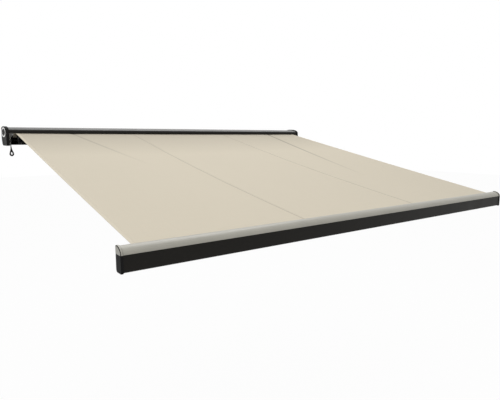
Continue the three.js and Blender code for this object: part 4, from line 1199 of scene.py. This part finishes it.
class AWNING_OT_canvas(bpy.types.Operator):
    """Make the canvas: the turns on the roller, the cover and its front edge"""

    bl_idname = "awning.canvas"
    bl_label = "Canvas"

    def execute(self, context):
        roll = merged_copy("fabric_roll", "roll")
        keder = merged_copy("fabric_keder", "keder")
        build_canvas()
        for piece, node in ((roll, "fabric_roll"), (keder, "fabric_keder")):
            softened(piece, 0.0)
            flat_map(piece)
            finished(piece, "canvas", node)
        return {"FINISHED"}


# Stage and camera

CAMERA_PLACE = (-2.4739, -4.8490, -0.0053)
CAMERA_TURN = math.radians(-36.78)
CAMERA_DIP = math.radians(7.946)
CAMERA_LENS = 33.13
CAMERA_SHIFT = (-0.0029, 0.0021)
CAMERA_CLIP = (0.05, 200)
EVEN_LIGHT = 0.46
FLOOR_SIZE = 60
FLOOR_ROUGHNESS = 0.9
FLOOR_GRAIN = 40.0
FLOOR_RELIEF = 0.0005
FLOOR_WHITE = 0.965
WHITE = (1.0, 1.0, 1.0, 1.0)
LAMP_AIM = (0, -1.5, -0.3)
LAMP_SIZE = 5.0
LAMPS = (
    # name, place, power
    ("key", (-3.0, -5.0, 5.5), 170),
    ("top", (1.5, 0.8, 5.0), 140),
)


class AWNING_OT_camera(bpy.types.Operator):
    """Place the camera in front of the awning, to its left"""

    bl_idname = "awning.camera"
    bl_label = "Camera"

    def execute(self, context):
        bpy.ops.object.camera_add(location=CAMERA_PLACE, rotation=(math.pi / 2 - CAMERA_DIP, 0, CAMERA_TURN))
        camera = bpy.context.object
        camera.data.lens = CAMERA_LENS
        camera.data.shift_x, camera.data.shift_y = CAMERA_SHIFT
        camera.data.clip_start, camera.data.clip_end = CAMERA_CLIP
        context.scene.camera = camera
        return {"FINISHED"}


def add_lamp(name, place, power):
    """A soft square lamp that looks at the middle of the awning."""
    bpy.ops.object.light_add(type="AREA", location=place)
    lamp = bpy.context.object
    lamp.name = name
    lamp.data.shape = "SQUARE"
    lamp.data.size = LAMP_SIZE
    lamp.data.energy = power
    lamp.rotation_euler = (Vector(LAMP_AIM) - Vector(place)).to_track_quat("-Z", "Y").to_euler()


def seen_directly(tree):
    """1 for rays from the camera, from gloss and through glass."""
    path = tree.nodes.new("ShaderNodeLightPath").outputs
    first = math_node(tree, "MAXIMUM", path["Is Camera Ray"], path["Is Glossy Ray"])
    return math_node(tree, "MAXIMUM", first, path["Is Transmission Ray"])


def build_world():
    """Plain even light, and white where the background is seen."""
    world = bpy.data.worlds.new("studio")
    bpy.context.scene.world = world
    world.use_nodes = True
    tree = world.node_tree
    tree.nodes.clear()
    even = add_node(tree, "ShaderNodeBackground", Color=(0.98, 0.99, 1.0, 1.0), Strength=EVEN_LIGHT)
    white = add_node(tree, "ShaderNodeBackground", Color=WHITE, Strength=1.0)
    mix = tree.nodes.new("ShaderNodeMixShader")
    tree.links.new(seen_directly(tree), mix.inputs[0])
    tree.links.new(even.outputs[0], mix.inputs[1])
    tree.links.new(white.outputs[0], mix.inputs[2])
    output = tree.nodes.new("ShaderNodeOutputWorld")
    tree.links.new(mix.outputs[0], output.inputs[0])


def floor_material():
    """Pale floor that is nearly white where it is seen and still takes a shadow; clear from below."""
    made, tree, shader = new_material("floor")
    shader.inputs["Base Color"].default_value = (*colours().floor, 1.0)
    shader.inputs["Roughness"].default_value = FLOOR_ROUGHNESS
    grains = placed(tree, GROUPS["grain"], Vector=object_place(tree), Scale=FLOOR_GRAIN)
    bump_from(tree, shader, grains["Height"], FLOOR_RELIEF)
    white = add_node(tree, "ShaderNodeEmission", Color=WHITE, Strength=1.0)
    share = math_node(tree, "MULTIPLY", seen_directly(tree), FLOOR_WHITE)
    pale = tree.nodes.new("ShaderNodeMixShader")
    tree.links.new(share, pale.inputs[0])
    tree.links.new(shader.outputs[0], pale.inputs[1])
    tree.links.new(white.outputs[0], pale.inputs[2])
    clear = tree.nodes.new("ShaderNodeBsdfTransparent")
    shape = tree.nodes.new("ShaderNodeNewGeometry")
    whole = tree.nodes.new("ShaderNodeMixShader")
    tree.links.new(shape.outputs["Backfacing"], whole.inputs[0])
    tree.links.new(pale.outputs[0], whole.inputs[1])
    tree.links.new(clear.outputs[0], whole.inputs[2])
    tree.links.new(whole.outputs[0], tree.nodes["Material Output"].inputs["Surface"])
    return made


class AWNING_OT_stage(bpy.types.Operator):
    """Set up the pale floor, the soft lamps and the plain background"""

    bl_idname = "awning.stage"
    bl_label = "Stage"

    def execute(self, context):
        scene = context.scene
        scene.view_settings.view_transform = "Standard"
        build_world()
        bpy.ops.object.select_all(action="DESELECT")
        bpy.ops.mesh.primitive_plane_add(size=FLOOR_SIZE, location=(0, -1.5, -sizes().floor_drop))
        floor = bpy.context.object
        floor.name = "floor"
        floor.data.materials.append(floor_material())
        for lamp in LAMPS:
            add_lamp(*lamp)
        return {"FINISHED"}


class AWNING_PT_panel(bpy.types.Panel):
    """The steps of the awning, in the sidebar"""

    bl_label = "Folding-arm awning"
    bl_idname = "AWNING_PT_panel"
    bl_space_type = "VIEW_3D"
    bl_region_type = "UI"
    bl_category = "Awning"

    def draw(self, context):
        for step in STEPS:
            self.layout.operator(step.bl_idname)


STEPS = (
    AWNING_OT_camera,
    AWNING_OT_canvas,
    AWNING_OT_cassette,
    AWNING_OT_wall_brackets,
    AWNING_OT_winding,
    AWNING_OT_crank_eye,
    AWNING_OT_arms,
    AWNING_OT_front_rail,
    AWNING_OT_stage,
)
CLASSES = (AwningSizes, AwningColours, *STEPS, AWNING_PT_panel)


def register():
    for kind in CLASSES:
        bpy.utils.register_class(kind)
    bpy.types.Scene.awning_sizes = PointerProperty(type=AwningSizes)
    bpy.types.Scene.awning_colours = PointerProperty(type=AwningColours)


def unregister():
    del bpy.types.Scene.awning_colours
    del bpy.types.Scene.awning_sizes
    for kind in reversed(CLASSES):
        bpy.utils.unregister_class(kind)


def main():
    """Registers the add-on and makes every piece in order."""
    register()
    build_materials()
    for step in STEPS:
        group, name = step.bl_idname.split(".")
        getattr(getattr(bpy.ops, group), name)()


if __name__ == "__main__":
    main()
